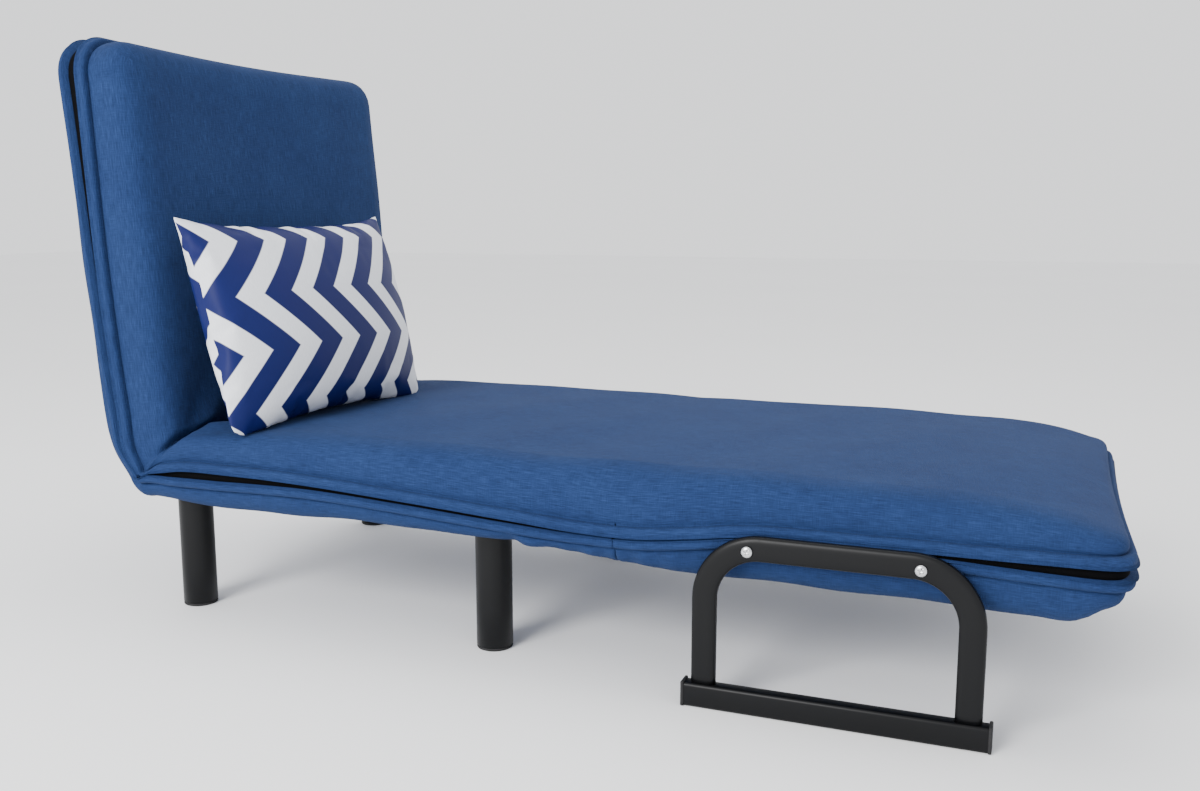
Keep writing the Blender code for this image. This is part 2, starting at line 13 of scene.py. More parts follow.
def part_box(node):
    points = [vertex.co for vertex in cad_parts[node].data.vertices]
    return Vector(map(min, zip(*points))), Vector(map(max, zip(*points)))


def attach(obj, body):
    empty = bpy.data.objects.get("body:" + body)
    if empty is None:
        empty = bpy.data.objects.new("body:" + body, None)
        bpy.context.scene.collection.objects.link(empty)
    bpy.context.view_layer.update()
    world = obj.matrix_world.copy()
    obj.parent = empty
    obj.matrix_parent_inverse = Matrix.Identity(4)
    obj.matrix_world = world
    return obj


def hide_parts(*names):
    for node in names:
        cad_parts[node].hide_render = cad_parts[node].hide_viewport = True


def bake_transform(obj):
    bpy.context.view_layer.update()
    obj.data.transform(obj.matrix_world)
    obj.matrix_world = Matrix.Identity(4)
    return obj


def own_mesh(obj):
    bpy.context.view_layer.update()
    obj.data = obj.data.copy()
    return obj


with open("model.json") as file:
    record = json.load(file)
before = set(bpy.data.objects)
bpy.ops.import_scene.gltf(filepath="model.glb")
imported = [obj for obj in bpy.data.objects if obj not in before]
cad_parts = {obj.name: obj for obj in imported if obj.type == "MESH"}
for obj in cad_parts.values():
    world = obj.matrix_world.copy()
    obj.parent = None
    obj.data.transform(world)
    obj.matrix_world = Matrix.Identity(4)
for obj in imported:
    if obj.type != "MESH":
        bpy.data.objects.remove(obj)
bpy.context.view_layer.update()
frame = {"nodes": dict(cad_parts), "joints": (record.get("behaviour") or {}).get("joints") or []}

bl_info = {
    "name": "Chair Bed",
    "version": (1, 0, 0),
    "blender": (4, 5, 0),
    "location": "View3D > Sidebar > Chair Bed",
    "description": "Builds the covers, cushion and metalwork of a fold-out chair bed",
    "category": "Add Mesh",
}

JOINTS = {joint["name"]: joint for joint in frame["joints"]}
BACK_AXIS = Vector(JOINTS["back_recline"]["pos_m"])
FOLD_AXIS = Vector(JOINTS["foot_fold"]["pos_m"])
RECLINE = math.radians(JOINTS["back_recline"]["range_deg"][1])
BISECTOR = (math.pi - RECLINE) / 2  # bearing of the crease between the seat and the raised back
LEG_X = sum(p[0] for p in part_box("leg_rear_near")) / 2
BACK_LENGTH = 0.632  # from the hinge to the top edge, along the pad
FOOT_END_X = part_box("foot_upper_cover")[1][0]
HALF_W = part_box("foot_upper_cover")[1][1]
TUCK = 0.010  # half width of the upper cover's crease at the hinge
FAN_RADIUS = 0.040
FAN_LENGTH = FAN_RADIUS * RECLINE  # extra cloth of the lower cover round the hinge
CORNER_PULL = 0.015  # how far the lower cover's corner is drawn in
CORNER_REACH = 0.052
EAR_LINE = 0.278  # the fold's steel ears lie inside this line
HINGE_ROOM = 0.0035
BACK_FULLNESS = 0.020


# ---------------------------------------------------------------- helpers

def smoothstep(x):
    """0 below 0, 1 above 1 and an even slope in between."""
    x = np.clip(x, 0.0, 1.0)
    return x * x * (3.0 - 2.0 * x)


def bump(x, centre, width):
    """Bell curve with its top of 1 at the centre."""
    return np.exp(-(((x - centre) / width) ** 2))


def curve_value(x, knots):
    """Smooth curve through a few (place, value) knots."""
    xs = np.array([k[0] for k in knots])
    ys = np.array([k[1] for k in knots])
    slopes = np.gradient(ys, xs)
    x = np.clip(np.asarray(x, float), xs[0], xs[-1])
    k = np.clip(np.searchsorted(xs, x) - 1, 0, len(xs) - 2)
    h = xs[k + 1] - xs[k]
    f = (x - xs[k]) / h
    a, b = ys[k], ys[k + 1]
    ma, mb = slopes[k] * h, slopes[k + 1] * h
    return (2 * f**3 - 3 * f**2 + 1) * a + (f**3 - 2 * f**2 + f) * ma + (3 * f**2 - 2 * f**3) * b + (f**3 - f**2) * mb


def resample(points, count):
    """Evenly spaced points on a smooth curve through the given ones."""
    points = np.array(points, float)
    length = np.concatenate([[0], np.cumsum(np.linalg.norm(np.diff(points, axis=0), axis=1))])
    fine = np.linspace(0, length[-1], 600)
    columns = [curve_value(fine, list(zip(length, points[:, k]))) for k in range(points.shape[1])]
    path = np.stack(columns, 1)
    run = np.concatenate([[0], np.cumsum(np.linalg.norm(np.diff(path, axis=0), axis=1))])
    even = np.linspace(0, run[-1], count)
    return np.stack([np.interp(even, run, path[:, k]) for k in range(points.shape[1])], 1)


def new_object(name, bm, finish):
    """Object made from a bmesh, with one material."""
    mesh = bpy.data.meshes.new(name)
    for face in bm.faces:
        face.smooth = True
    bm.to_mesh(mesh)
    bm.free()
    obj = bpy.data.objects.new(name, mesh)
    bpy.context.scene.collection.objects.link(obj)
    obj.data.materials.append(finish)
    return obj


def sheet_mesh(columns, rows, place, flip=False, close_rows=False):
    """Grid whose vertices are moved to place(column index, row index); its UV map holds metres of cloth.

    place gets two index arrays and returns positions and cloth coordinates.
    """
    bm = bmesh.new()
    bmesh.ops.create_grid(bm, x_segments=columns - 1, y_segments=rows - 1, size=1.0)
    bm.verts.ensure_lookup_table()
    flat = np.array([v.co[:2] for v in bm.verts])
    i = np.rint((flat[:, 0] + 1) / 2 * (columns - 1)).astype(int)
    j = np.rint((flat[:, 1] + 1) / 2 * (rows - 1)).astype(int)
    points, cloth = place(i, j)
    uv = bm.loops.layers.uv.new("cloth")
    for face in bm.faces:
        for loop in face.loops:
            loop[uv].uv = cloth[loop.vert.index]
    for vert, point in zip(bm.verts, points):
        vert.co = point
    if close_rows:
        bmesh.ops.remove_doubles(bm, verts=bm.verts, dist=0.00002)
    if flip:
        bmesh.ops.reverse_faces(bm, faces=bm.faces)
    return bm


# ---------------------------------------------------------------- the mattress in its flat, bed-mode shape

def from_leg(knots):
    """Knots whose places are given from the rear legs' centre line."""
    return [(LEG_X + x, value) for x, value in knots]


ZIP_HEIGHT = from_leg([
    (-0.68, 0.180), (-0.15, 0.181), (-0.085, 0.185), (-0.042, 0.2065), (0.02, 0.216), (0.12, 0.2185),
    (0.24, 0.2180), (0.40, 0.2100), (0.548, 0.2005), (0.66, 0.1945), (0.74, 0.1950), (0.80, 0.2020),
    (0.865, 0.2110), (0.95, 0.2135), (1.046, 0.2130), (1.18, 0.2105), (1.30, 0.2095),
])
ZIP_GAP = from_leg([
    (-0.68, 0.0230), (-0.55, 0.0165), (-0.35, 0.0100), (-0.10, 0.0050), (-0.042, 0.0030), (-0.01, 0.0040),
    (0.04, 0.0100), (0.15, 0.0095), (0.26, 0.0060), (0.40, 0.0048), (0.52, 0.0046), (0.58, 0.0040),
    (0.66, 0.0016), (0.80, 0.0008), (1.00, 0.0010), (1.08, 0.0040), (1.20, 0.0100), (1.30, 0.0130),
])
TOP_HEIGHT = from_leg([
    (-0.68, 0.2640), (-0.40, 0.2665), (-0.12, 0.2660), (-0.042, 0.2760), (0.04, 0.2785), (0.16, 0.2800),
    (0.30, 0.2825), (0.42, 0.2820), (0.54, 0.2795), (0.64, 0.2775), (0.715, 0.2772), (0.80, 0.2775),
    (0.90, 0.2775), (1.05, 0.2760), (1.15, 0.2720), (1.21, 0.2640), (1.26, 0.2520),
])
BOTTOM_HEIGHT = from_leg([
    (-0.68, 0.1400), (-0.20, 0.1380), (-0.11, 0.1395), (-0.07, 0.1520), (-0.042, 0.1685), (-0.01, 0.1690),
    (0.036, 0.1650), (0.10, 0.1640), (0.18, 0.1655), (0.26, 0.1680), (0.38, 0.1657), (0.46, 0.1650),
    (0.54, 0.1680), (0.562, 0.1680), (0.574, 0.1632), (0.61, 0.1632), (0.66, 0.1590), (0.70, 0.1535),
    (0.76, 0.1475), (0.83, 0.1490), (0.92, 0.1490), (1.02, 0.1445), (1.10, 0.1460), (1.19, 0.1440),
    (1.235, 0.1465), (1.26, 0.1610),
])
EDGE_IN = 0.050  # where the rounding of the sides starts
SLIDER_Z = sum(p[2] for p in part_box("zip_slider")) / 2
SLIDER_GAP = 0.0115
LIP_H = 0.0130  # height of each padded band beside the zip
BODY_POINTS = 18
LIP_POINTS = 12
OPEN_EDGE_STEPS = [0.0, 0.0002, 0.0004, 0.0010, 0.0030]
UPPER_ROLL = 0.00002
LOWER_ROLL = 0.0022
END_SAG = 0.005

# profile points: distance beyond the start of the rounding, and height as a share of the body or of the lip
UPPER_PROFILE = [
    (0.000, 1.000), (0.012, 0.990), (0.023, 0.952), (0.033, 0.880), (0.0410, 0.760), (0.0460, 0.600), (0.0482, 0.430),
    (0.0488, 0.260), (0.0482, 0.100), (0.0462, 0.000),
]
LIP_PROFILE = [
    (0.0462, 1.00), (0.0500, 1.07), (0.0540, 0.98), (0.0567, 0.76), (0.0574, 0.48), (0.0562, 0.20),
    (0.0525, 0.02), (0.0465, 0.00), (0.0390, 0.03),
]
LOWER_PROFILE = [
    (0.000, 0.000), (0.012, 0.012), (0.023, 0.060), (0.033, 0.160), (0.0410, 0.320), (0.0458, 0.520), (0.0480, 0.720),
    (0.0482, 0.890), (0.0462, 1.000),
]


def profile_table(body):
    """Body and lip points as (offset, height share, which part): part 0 is the body and part 1 the lip."""
    first = resample(body, BODY_POINTS)
    last = resample(LIP_PROFILE, LIP_POINTS)
    offsets = np.concatenate([first[:, 0], last[:, 0]])
    shares = np.concatenate([first[:, 1], last[:, 1]])
    part = np.concatenate([np.zeros(len(first)), np.ones(len(last))])
    return offsets, shares, part


def corner_angle(a, b):
    """Bearing of a point a steps past the end and b past the side: 0 at the end, 90 degrees at the side."""
    step = np.maximum(np.maximum(a, b), 1e-9)
    angle = np.where(a >= b, np.pi / 4 * b / step, np.pi / 2 - np.pi / 4 * a / step)
    return np.where(a <= 0, np.pi / 2, np.where(b <= 0, 0.0, angle))


def rim_offsets(angle, rho, growth):
    """Plan offsets at a bearing, on a corner that grows squarer outwards."""
    squareness = 2.0 + growth * smoothstep(rho / EDGE_IN)
    c, s = np.cos(angle), np.sin(angle)
    scale = rho / (np.abs(c) ** squareness + np.abs(s) ** squareness) ** (1 / squareness)
    return np.where(angle >= np.pi / 2, 0.0, c * scale), np.where(angle <= 0.0, 0.0, s * scale)


def zip_line(x, y):
    """Height and opening of the zip; on the far side it runs level, with room for the slider."""
    far = smoothstep(y / 0.2)
    seat = smoothstep((x - BACK_AXIS.x) / 0.15) * smoothstep((FOLD_AXIS.x + 0.15 - x) / 0.15)
    height = curve_value(x, ZIP_HEIGHT)
    gap = curve_value(x, ZIP_GAP)
    return height + far * seat * (SLIDER_Z - height), gap + far * seat * (SLIDER_GAP - gap)


def top_line(x, y):
    """Height of the upper cover; the back's pad is fuller towards the far side."""
    fuller = BACK_FULLNESS * smoothstep((y + 0.15) / 0.40) * smoothstep((BACK_AXIS.x - 0.05 - x) / 0.12)
    return curve_value(x, TOP_HEIGHT) + fuller


def unfanned(x):
    """Where along the flat mattress a lower-cover column belongs, whose strip round the hinge is longer."""
    past_hinge = x < BACK_AXIS.x - FAN_LENGTH
    return np.where(past_hinge, x + FAN_LENGTH, np.minimum(np.maximum(x, BACK_AXIS.x), x + FAN_LENGTH))


class Section:
    """One stretch of the mattress: its flat columns along the length, and the closed end it has."""

    def __init__(self, open_x, end_x, spacing):
        self.sign = 1.0 if end_x > open_x else -1.0
        self.open_x = open_x
        self.growth = 1.3 if self.sign > 0 else 0.1
        self.rim_x = end_x - self.sign * EDGE_IN
        length = abs(self.rim_x - open_x)
        even = np.linspace(spacing, length, int(round(length / spacing)))
        self.straight = open_x + self.sign * np.concatenate([OPEN_EDGE_STEPS, even])
        self.half = HALF_W - EDGE_IN
        self.across = np.linspace(-self.half, self.half, int(round(2 * self.half / spacing)) + 1)

    def edge_roll(self, x, radius):
        """How far the cloth turns in where the section ends at the fold."""
        near = np.clip(1 - np.abs(x - self.open_x) / radius, 0, 1)
        return radius * (1 - np.sqrt(1 - near**2))

    def end_sag(self, x, y):
        """How far the closed end dips in between its corners."""
        return self.sign * END_SAG * np.cos(y / self.half * np.pi / 2) * smoothstep(1 - np.abs(x - self.rim_x) / 0.15)

    def ring(self, corner_count):
        """Path round the section's closed sides: base places, bearings and sides."""
        bend = np.linspace(np.pi / 2, 0, corner_count + 2)[1:-1]
        straight = np.full(len(self.straight), np.pi / 2)
        base_x = np.concatenate([self.straight, np.full(2 * corner_count + len(self.across), self.rim_x),
                                 self.straight[::-1]])
        edge = np.full(len(straight) + corner_count, self.half)
        base_y = np.concatenate([-edge, self.across, edge])
        angle = np.concatenate([straight, bend, np.zeros(len(self.across)), bend[::-1], straight])
        return base_x, base_y, angle, np.where(base_y < 0, -1.0, 1.0)


def head_section(extra=0.0):
    """Seat and back in one flat length, from the fold to the top of the back."""
    return Section(FOLD_AXIS.x, BACK_AXIS.x - BACK_LENGTH - extra, settings()[0].cloth_step)


def foot_section():
    """The foot section, from the fold to its end."""
    return Section(FOLD_AXIS.x, FOOT_END_X, settings()[0].cloth_step)


def cover_place(section, profile, upper, finish):
    """Returns the grid size and the function that places a cover's grid."""
    offsets, shares, part = profile
    steps = len(offsets) - 1
    n_straight, n_across = len(section.straight), len(section.across)
    rows = n_across + 2 * steps
    columns = n_straight + steps
    rise = np.where(part[1:] > 0, LIP_H, 0.06) * np.diff(shares)
    cloth_run = np.concatenate([[0], np.cumsum(np.hypot(np.diff(offsets), rise))])

    def place(i, j):
        a_step = np.maximum(i - (n_straight - 1), 0)
        near = steps - j
        far = j - (steps + n_across - 1)
        b_step = np.maximum(np.maximum(near, far), 0)
        side = np.where(near > 0, -1.0, 1.0)
        level = np.maximum(a_step, b_step)
        rho, share, is_lip = offsets[level], shares[level], part[level]
        out_x, out_y = rim_offsets(corner_angle(a_step, b_step), np.where(level > 0, rho, 0.0), section.growth)
        base_x = section.straight[np.minimum(i, n_straight - 1)]
        base_y = section.across[np.clip(j - steps, 0, n_across - 1)]
        out_x = np.where(a_step > 0, out_x, 0.0)
        out_y = np.where(b_step > 0, out_y, 0.0)
        x = base_x + section.sign * out_x - section.end_sag(base_x, base_y)
        y = base_y + side * out_y
        real_x = x if upper else unfanned(x)
        zip_z, gap = zip_line(real_x, y)
        if upper:
            low = zip_z + gap / 2
            groove = low + LIP_H
            z = np.where(is_lip > 0, low + share * LIP_H, groove + share * (top_line(real_x, y) - groove))
        else:
            high = zip_z - gap / 2
            bottom = curve_value(real_x, BOTTOM_HEIGHT)
            z = np.where(is_lip > 0, high - share * LIP_H, bottom + share * (high - LIP_H - bottom))
        roll = section.edge_roll(x, UPPER_ROLL if upper else LOWER_ROLL)
        z = z + roll * np.where(upper, -1.0, 1.0) * (1 - is_lip)
        y = y - side * roll * smoothstep(rho / EDGE_IN)
        run = cloth_run[level]
        cloth = np.stack([base_x + section.sign * np.where(a_step > 0, run * a_step / np.maximum(level, 1), 0.0),
                          base_y + side * np.where(b_step > 0, run * b_step / np.maximum(level, 1), 0.0)], 1)
        return finish(np.stack([x, y, z], 1), share, is_lip), cloth

    return columns, rows, place


# ---------------------------------------------------------------- standing the back up

def raise_back(points):
    """Takes flat, bed-mode points to their place with the back up, so that reclining lays them flat again."""
    out = points.copy()
    x = points[:, 0] - BACK_AXIS.x
    z = points[:, 2] - BACK_AXIS.z
    radius = np.hypot(x, z)
    flat_angle = np.arctan2(z, x)
    flat_angle = np.where(flat_angle < -math.pi / 2, flat_angle + 2 * math.pi, flat_angle)
    low = flat_angle - RECLINE
    high = flat_angle.copy()
    for _ in range(42):
        middle = (low + high) / 2
        turn = smoothstep((radius * np.sin(middle - BISECTOR) + TUCK) / (2 * TUCK)) * RECLINE
        too_far = middle + turn > flat_angle
        high = np.where(too_far, middle, high)
        low = np.where(too_far, low, middle)
    angle = (low + high) / 2
    out[:, 0] = BACK_AXIS.x + radius * np.cos(angle)
    out[:, 2] = BACK_AXIS.z + radius * np.sin(angle)
    return out


def fan_back(flat_x, y, z):
    """Place of a lower-cover point: seat, a quarter-round fan outside the hinge, then the back."""
    x = flat_x - BACK_AXIS.x
    turn = np.clip(-x / FAN_LENGTH, 0.0, 1.0) * RECLINE
    local_x = np.where(x > 0, x, np.where(x < -FAN_LENGTH, x + FAN_LENGTH, 0.0))
    local_z = z - BACK_AXIS.z
    c, s = np.cos(-turn), np.sin(-turn)
    outermost = smoothstep((np.abs(y) - 0.313) / 0.003)
    pull = CORNER_PULL * bump(x, -FAN_LENGTH / 2, CORNER_REACH) * (0.55 + 0.45 * outermost)
    return np.stack([
        BACK_AXIS.x + c * local_x - s * local_z + pull * math.cos(BISECTOR), y,
        BACK_AXIS.z + s * local_x + c * local_z + pull * math.sin(BISECTOR),
    ], 1)


# ---------------------------------------------------------------- materials

def node_tools(name):
    """A new material with its nodes cleared, and two small functions that add and join nodes."""
    material = bpy.data.materials.new(name)
    material.use_nodes = True
    tree = material.node_tree
    tree.nodes.clear()

    def add(kind, **values):
        node = tree.nodes.new(kind)
        for key, value in values.items():
            if hasattr(node, key) and key not in node.inputs:
                setattr(node, key, value)
            else:
                node.inputs[key.replace("_", " ")].default_value = value
        return node

    def join(source, target):
        tree.links.new(source, target)

    output = add("ShaderNodeOutputMaterial")
    shader = add("ShaderNodeBsdfPrincipled")
    join(shader.outputs["BSDF"], output.inputs["Surface"])
    return material, shader, add, join


def stretched_noise(add, join, coordinates, scale, detail=3.0):
    """Noise stretched by a scale along each axis."""
    mapping = add("ShaderNodeMapping")
    mapping.inputs["Scale"].default_value = scale
    join(coordinates, mapping.inputs["Vector"])
    noise = add("ShaderNodeTexNoise", Scale=1.0, Detail=detail, Roughness=0.55)
    join(mapping.outputs["Vector"], noise.inputs["Vector"])
    return noise.outputs["Fac"]


def ramp(add, join, source, stops):
    """Colour ramp through a few (place, colour) stops."""
    node = add("ShaderNodeValToRGB")
    elements = node.color_ramp.elements
    while len(elements) < len(stops):
        elements.new(0.5)
    for element, (place, colour) in zip(elements, stops):
        element.position = place
        element.color = (*colour, 1.0)
    join(source, node.inputs["Fac"])
    return node.outputs["Color"]


def blend_colours(add, join, first, second, factor, mode="MIX"):
    """Mixes two colours."""
    node = add("ShaderNodeMix", data_type="RGBA", blend_type=mode)
    node.inputs[0].default_value = factor
    join(first, node.inputs[6])
    join(second, node.inputs[7])
    return node.outputs[2]


def maths(add, join, operation, first, second):
    """Sum of two numbers or sockets, or another operation on them."""
    node = add("ShaderNodeMath", operation=operation)
    for socket, value in zip(node.inputs, (first, second)):
        if isinstance(value, (int, float)):
            socket.default_value = value
        else:
            join(value, socket)
    return node.outputs["Value"]


def add_relief(add, join, shader, height, strength, distance):
    """Fine bumps that follow a height."""
    relief = add("ShaderNodeBump", Strength=strength, Distance=distance)
    join(height, relief.inputs["Height"])
    join(relief.outputs["Normal"], shader.inputs["Normal"])


def linen_material(name, colour):
    """Plain-weave melange linen: slub streaks both ways over a fine weave."""
    _, shader, add, join = node_tools(name)
    cloth = add("ShaderNodeUVMap", uv_map="cloth").outputs["UV"]
    long_slub = stretched_noise(add, join, cloth, (48.0, 900.0, 1.0))
    cross_slub = stretched_noise(add, join, cloth, (820.0, 60.0, 1.0))
    mottle = stretched_noise(add, join, cloth, (9.0, 14.0, 1.0), detail=4.0)
    dark = tuple(c * 0.58 for c in colour)
    light = tuple(min(1.0, c * 1.55 + 0.004) for c in colour)
    along = ramp(add, join, long_slub, [(0.30, dark), (0.50, colour), (0.72, light)])
    across = ramp(add, join, cross_slub, [(0.30, dark), (0.52, colour), (0.75, light)])
    weave = blend_colours(add, join, along, across, 0.30)
    patch = ramp(add, join, mottle, [(0.30, (0.80, 0.82, 0.86)), (0.70, (1.0, 1.0, 1.0))])
    whole = blend_colours(add, join, weave, patch, 1.0, "MULTIPLY")
    join(whole, shader.inputs["Base Color"])
    shader.inputs["Roughness"].default_value = 0.88
    shader.inputs["Specular IOR Level"].default_value = 0.12
    shader.inputs["Sheen Weight"].default_value = 0.03
    shader.inputs["Sheen Roughness"].default_value = 0.45
    shader.inputs["Sheen Tint"].default_value = (0.45, 0.58, 0.85, 1.0)
    threads = add("ShaderNodeTexWave", wave_type="BANDS", bands_direction="X", Scale=150.0, Distortion=1.2)
    threads.inputs["Detail"].default_value = 1.0
    join(cloth, threads.inputs["Vector"])
    crossed = add("ShaderNodeTexWave", wave_type="BANDS", bands_direction="Y", Scale=150.0, Distortion=1.2)
    join(cloth, crossed.inputs["Vector"])
    weave_height = maths(add, join, "ADD", threads.outputs["Fac"], crossed.outputs["Fac"])
    slub_height = maths(add, join, "ADD", long_slub, cross_slub)
    height = maths(add, join, "ADD", weave_height, maths(add, join, "MULTIPLY", slub_height, 2.2))
    add_relief(add, join, shader, height, 0.35, 0.0004)


METAL_GRAIN = 260.0
METAL_RELIEF = 0.00005


def metal_material(name, colour, roughness, metallic, shine=0.5):
    """Painted or plain metal with a fine uneven finish."""
    _, shader, add, join = node_tools(name)
    place = add("ShaderNodeTexCoord").outputs["Object"]
    fine = stretched_noise(add, join, place, (METAL_GRAIN, METAL_GRAIN, METAL_GRAIN), detail=4.0)
    broad = stretched_noise(add, join, place, (14.0, 14.0, 14.0), detail=2.0)
    shade = ramp(add, join, broad, [(0.30, tuple(c * 0.88 for c in colour)), (0.70, tuple(c * 1.12 for c in colour))])
    join(shade, shader.inputs["Base Color"])
    rough = add("ShaderNodeMapRange")
    rough.inputs["To Min"].default_value = roughness - 0.05
    rough.inputs["To Max"].default_value = roughness + 0.07
    join(fine, rough.inputs["Value"])
    join(rough.outputs["Result"], shader.inputs["Roughness"])
    shader.inputs["Metallic"].default_value = metallic
    shader.inputs["Specular IOR Level"].default_value = shine
    add_relief(add, join, shader, fine, 0.25, METAL_RELIEF)


def plain_textile(name, colour, roughness, scale, shine=0.3):
    """Tape, foam or plastic with a fine even grain."""
    _, shader, add, join = node_tools(name)
    place = add("ShaderNodeTexCoord").outputs["Object"]
    fine = stretched_noise(add, join, place, (scale, scale, scale), detail=2.0)
    shade = ramp(add, join, fine, [(0.30, tuple(c * 0.7 for c in colour)), (0.70, tuple(c * 1.3 for c in colour))])
    join(shade, shader.inputs["Base Color"])
    shader.inputs["Roughness"].default_value = roughness
    shader.inputs["Specular IOR Level"].default_value = shine
    add_relief(add, join, shader, fine, 0.4, 0.0003)


# the cushion's print: height of the forward points, start of the first stripe, and the edge between two stripes
PRINT_ROW = 0.453
PRINT_START = 0.0122
STRIPE_EDGE = (0.253, 0.277)


def cushion_material(name, colours):
    """Satin print: zigzag stripes in two colours, running down the cushion."""
    _, shader, add, join = node_tools(name)
    cloth = add("ShaderNodeUVMap", uv_map="cloth").outputs["UV"]
    split = add("ShaderNodeSeparateXYZ")
    join(cloth, split.inputs["Vector"])
    fold = add("ShaderNodeMath", operation="PINGPONG")
    join(maths(add, join, "SUBTRACT", split.outputs["Y"], PRINT_ROW), fold.inputs[0])
    fold.inputs[1].default_value = colours.zigzag_height
    lean = maths(add, join, "MULTIPLY", fold.outputs["Value"], colours.zigzag_slope)
    across = maths(add, join, "ADD", split.outputs["X"], lean)
    phase = maths(add, join, "DIVIDE", maths(add, join, "SUBTRACT", across, PRINT_START), colours.stripe_pair)
    turns = add("ShaderNodeMath", operation="FRACT")
    join(phase, turns.inputs[0])
    edge = add("ShaderNodeMath", operation="PINGPONG")
    join(turns.outputs["Value"], edge.inputs[0])
    edge.inputs[1].default_value = 0.5
    stripe = ramp(add, join, edge.outputs["Value"], [
        (STRIPE_EDGE[0], tuple(colours.cushion_navy)), (STRIPE_EDGE[1], tuple(colours.cushion_white)),
    ])
    thread = stretched_noise(add, join, cloth, (900.0, 120.0, 1.0), detail=2.0)
    grain = ramp(add, join, thread, [(0.3, (0.90, 0.90, 0.91)), (0.7, (1.0, 1.0, 1.0))])
    join(blend_colours(add, join, stripe, grain, 1.0, "MULTIPLY"), shader.inputs["Base Color"])
    shader.inputs["Roughness"].default_value = 0.50
    shader.inputs["Specular IOR Level"].default_value = 0.20
    add_relief(add, join, shader, thread, 0.25, 0.0002)


# ---------------------------------------------------------------- covers and foam

def settings():
    """The sizes and colours of this scene's chair bed."""
    return bpy.context.scene.chair_bed_sizes, bpy.context.scene.chair_bed_colours


def material(name):
    """One of the finishes that the first step made."""
    return bpy.data.materials[name]


def dimple_at_fold(x, y, depth, reach):
    """Dip of the pad's edges beside the fold."""
    edge = smoothstep((np.abs(y) - EAR_LINE) / 0.022)
    return depth * bump(x, FOLD_AXIS.x, reach) * edge


# folds that run out from the head corners: bearing and width in degrees, and height
HEAD_FOLDS = [(20.0, 7.0, -0.005), (36.0, 7.0, 0.006), (52.0, 6.0, -0.008), (66.0, 6.0, 0.008), (108.0, 6.0, 0.007),
              (119.0, 4.5, -0.010), (131.0, 6.0, 0.007), (146.0, 7.0, -0.005)]


def top_creases(x, y):
    """Soft creases that fan out from the head corners, and broad unevenness of the pad."""
    out = 0.0013 * np.sin(x * 13.1 + 1.0) * np.sin(y * 9.3 + x * 4.0)
    out += 0.0006 * np.sin(x * 31.0 - y * 17.0 + 0.6)
    for side, strength in ((-1.0, 1.0), (1.0, 0.7)):
        dx = x - BACK_AXIS.x - 0.005
        dy = (y - side * 0.322) * -side
        reach = np.hypot(dx, dy) + 1e-6
        angle = np.degrees(np.arctan2(dy, dx))
        fade = smoothstep(reach / 0.045) * np.exp(-((reach / 0.19) ** 2))
        for bearing, width, height in HEAD_FOLDS:
            out += strength * height * fade * np.exp(-(((angle - bearing) / width) ** 2))
    return out * (1 - bump(x, FOLD_AXIS.x, 0.06))


def side_puckers(x, share, is_lip):
    """Small gathers down the side wall where it is sewn to the band."""
    fade = np.clip(1 - share, 0, 1) * np.clip(share * 4, 0, 1) * (1 - is_lip)
    there = np.exp(-(((x - LEG_X - 0.60) / 0.16) ** 4)) + 0.25
    wave = np.sin(x * 2 * math.pi / 0.027 + 1.4 * np.sin(x * 31.0)) + 0.6 * np.sin(x * 2 * math.pi / 0.043 + 2.0)
    return 0.0009 * fade * wave * there


def push_out(y, amount):
    """Sideways push of the side walls, away from the middle line."""
    return y + np.sign(y) * amount * smoothstep((np.abs(y) - 0.26) / 0.03)


def hinge_room(x):
    """How much wider the covers are beside the hinge pins."""
    return HINGE_ROOM * bump(x, BACK_AXIS.x, 0.018)


def upper_finish(rises, crown):
    """Crowns and creases the cover's top; the back is stood up where the cover reaches it."""
    def finish(points, share, is_lip):
        x, y = points[:, 0].copy(), points[:, 1].copy()
        body = (1 - is_lip) * np.clip(share, 0, 1)
        points[:, 2] += crown * body**2 * (1 - (y / HALF_W) ** 2)
        points[:, 2] += top_creases(x, y) * body
        points[:, 2] += 0.0015 * bump(x, FOLD_AXIS.x, 0.05) * body
        points[:, 2] -= body * dimple_at_fold(x, y, 0.0075, 0.060)
        points[:, 1] = push_out(y, side_puckers(x, share, is_lip) + hinge_room(x))
        return raise_back(points) if rises else points
    return finish


def make_cover(name, section, upper, finish):
    """One half of a cover, with rounded sides and a padded band beside the zip."""
    profile = profile_table(UPPER_PROFILE if upper else LOWER_PROFILE)
    columns, rows, place = cover_place(section, profile, upper, finish)
    bm = sheet_mesh(columns, rows, place, flip=(section.sign < 0) != (not upper))
    return new_object(name, bm, material("blue_linen"))


class CHAIRBED_OT_upper_covers(bpy.types.Operator):
    """Makes the upper covers: one over the seat and back, and one over the foot section."""

    bl_idname = "chairbed.upper_covers"
    bl_label = "Upper covers"

    def execute(self, context):
        sizes, _ = settings()
        head, foot = head_section(), foot_section()
        seat_cover = make_cover("seat_and_back_upper_cover", head, True, upper_finish(True, sizes.crown))
        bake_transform(seat_cover)
        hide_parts("seat_upper_cover", "back_front_cover")
        foot_cover = make_cover("foot_section_upper_cover", foot, True, upper_finish(False, sizes.crown))
        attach(foot_cover, "foot")
        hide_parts("foot_upper_cover")
        return {"FINISHED"}


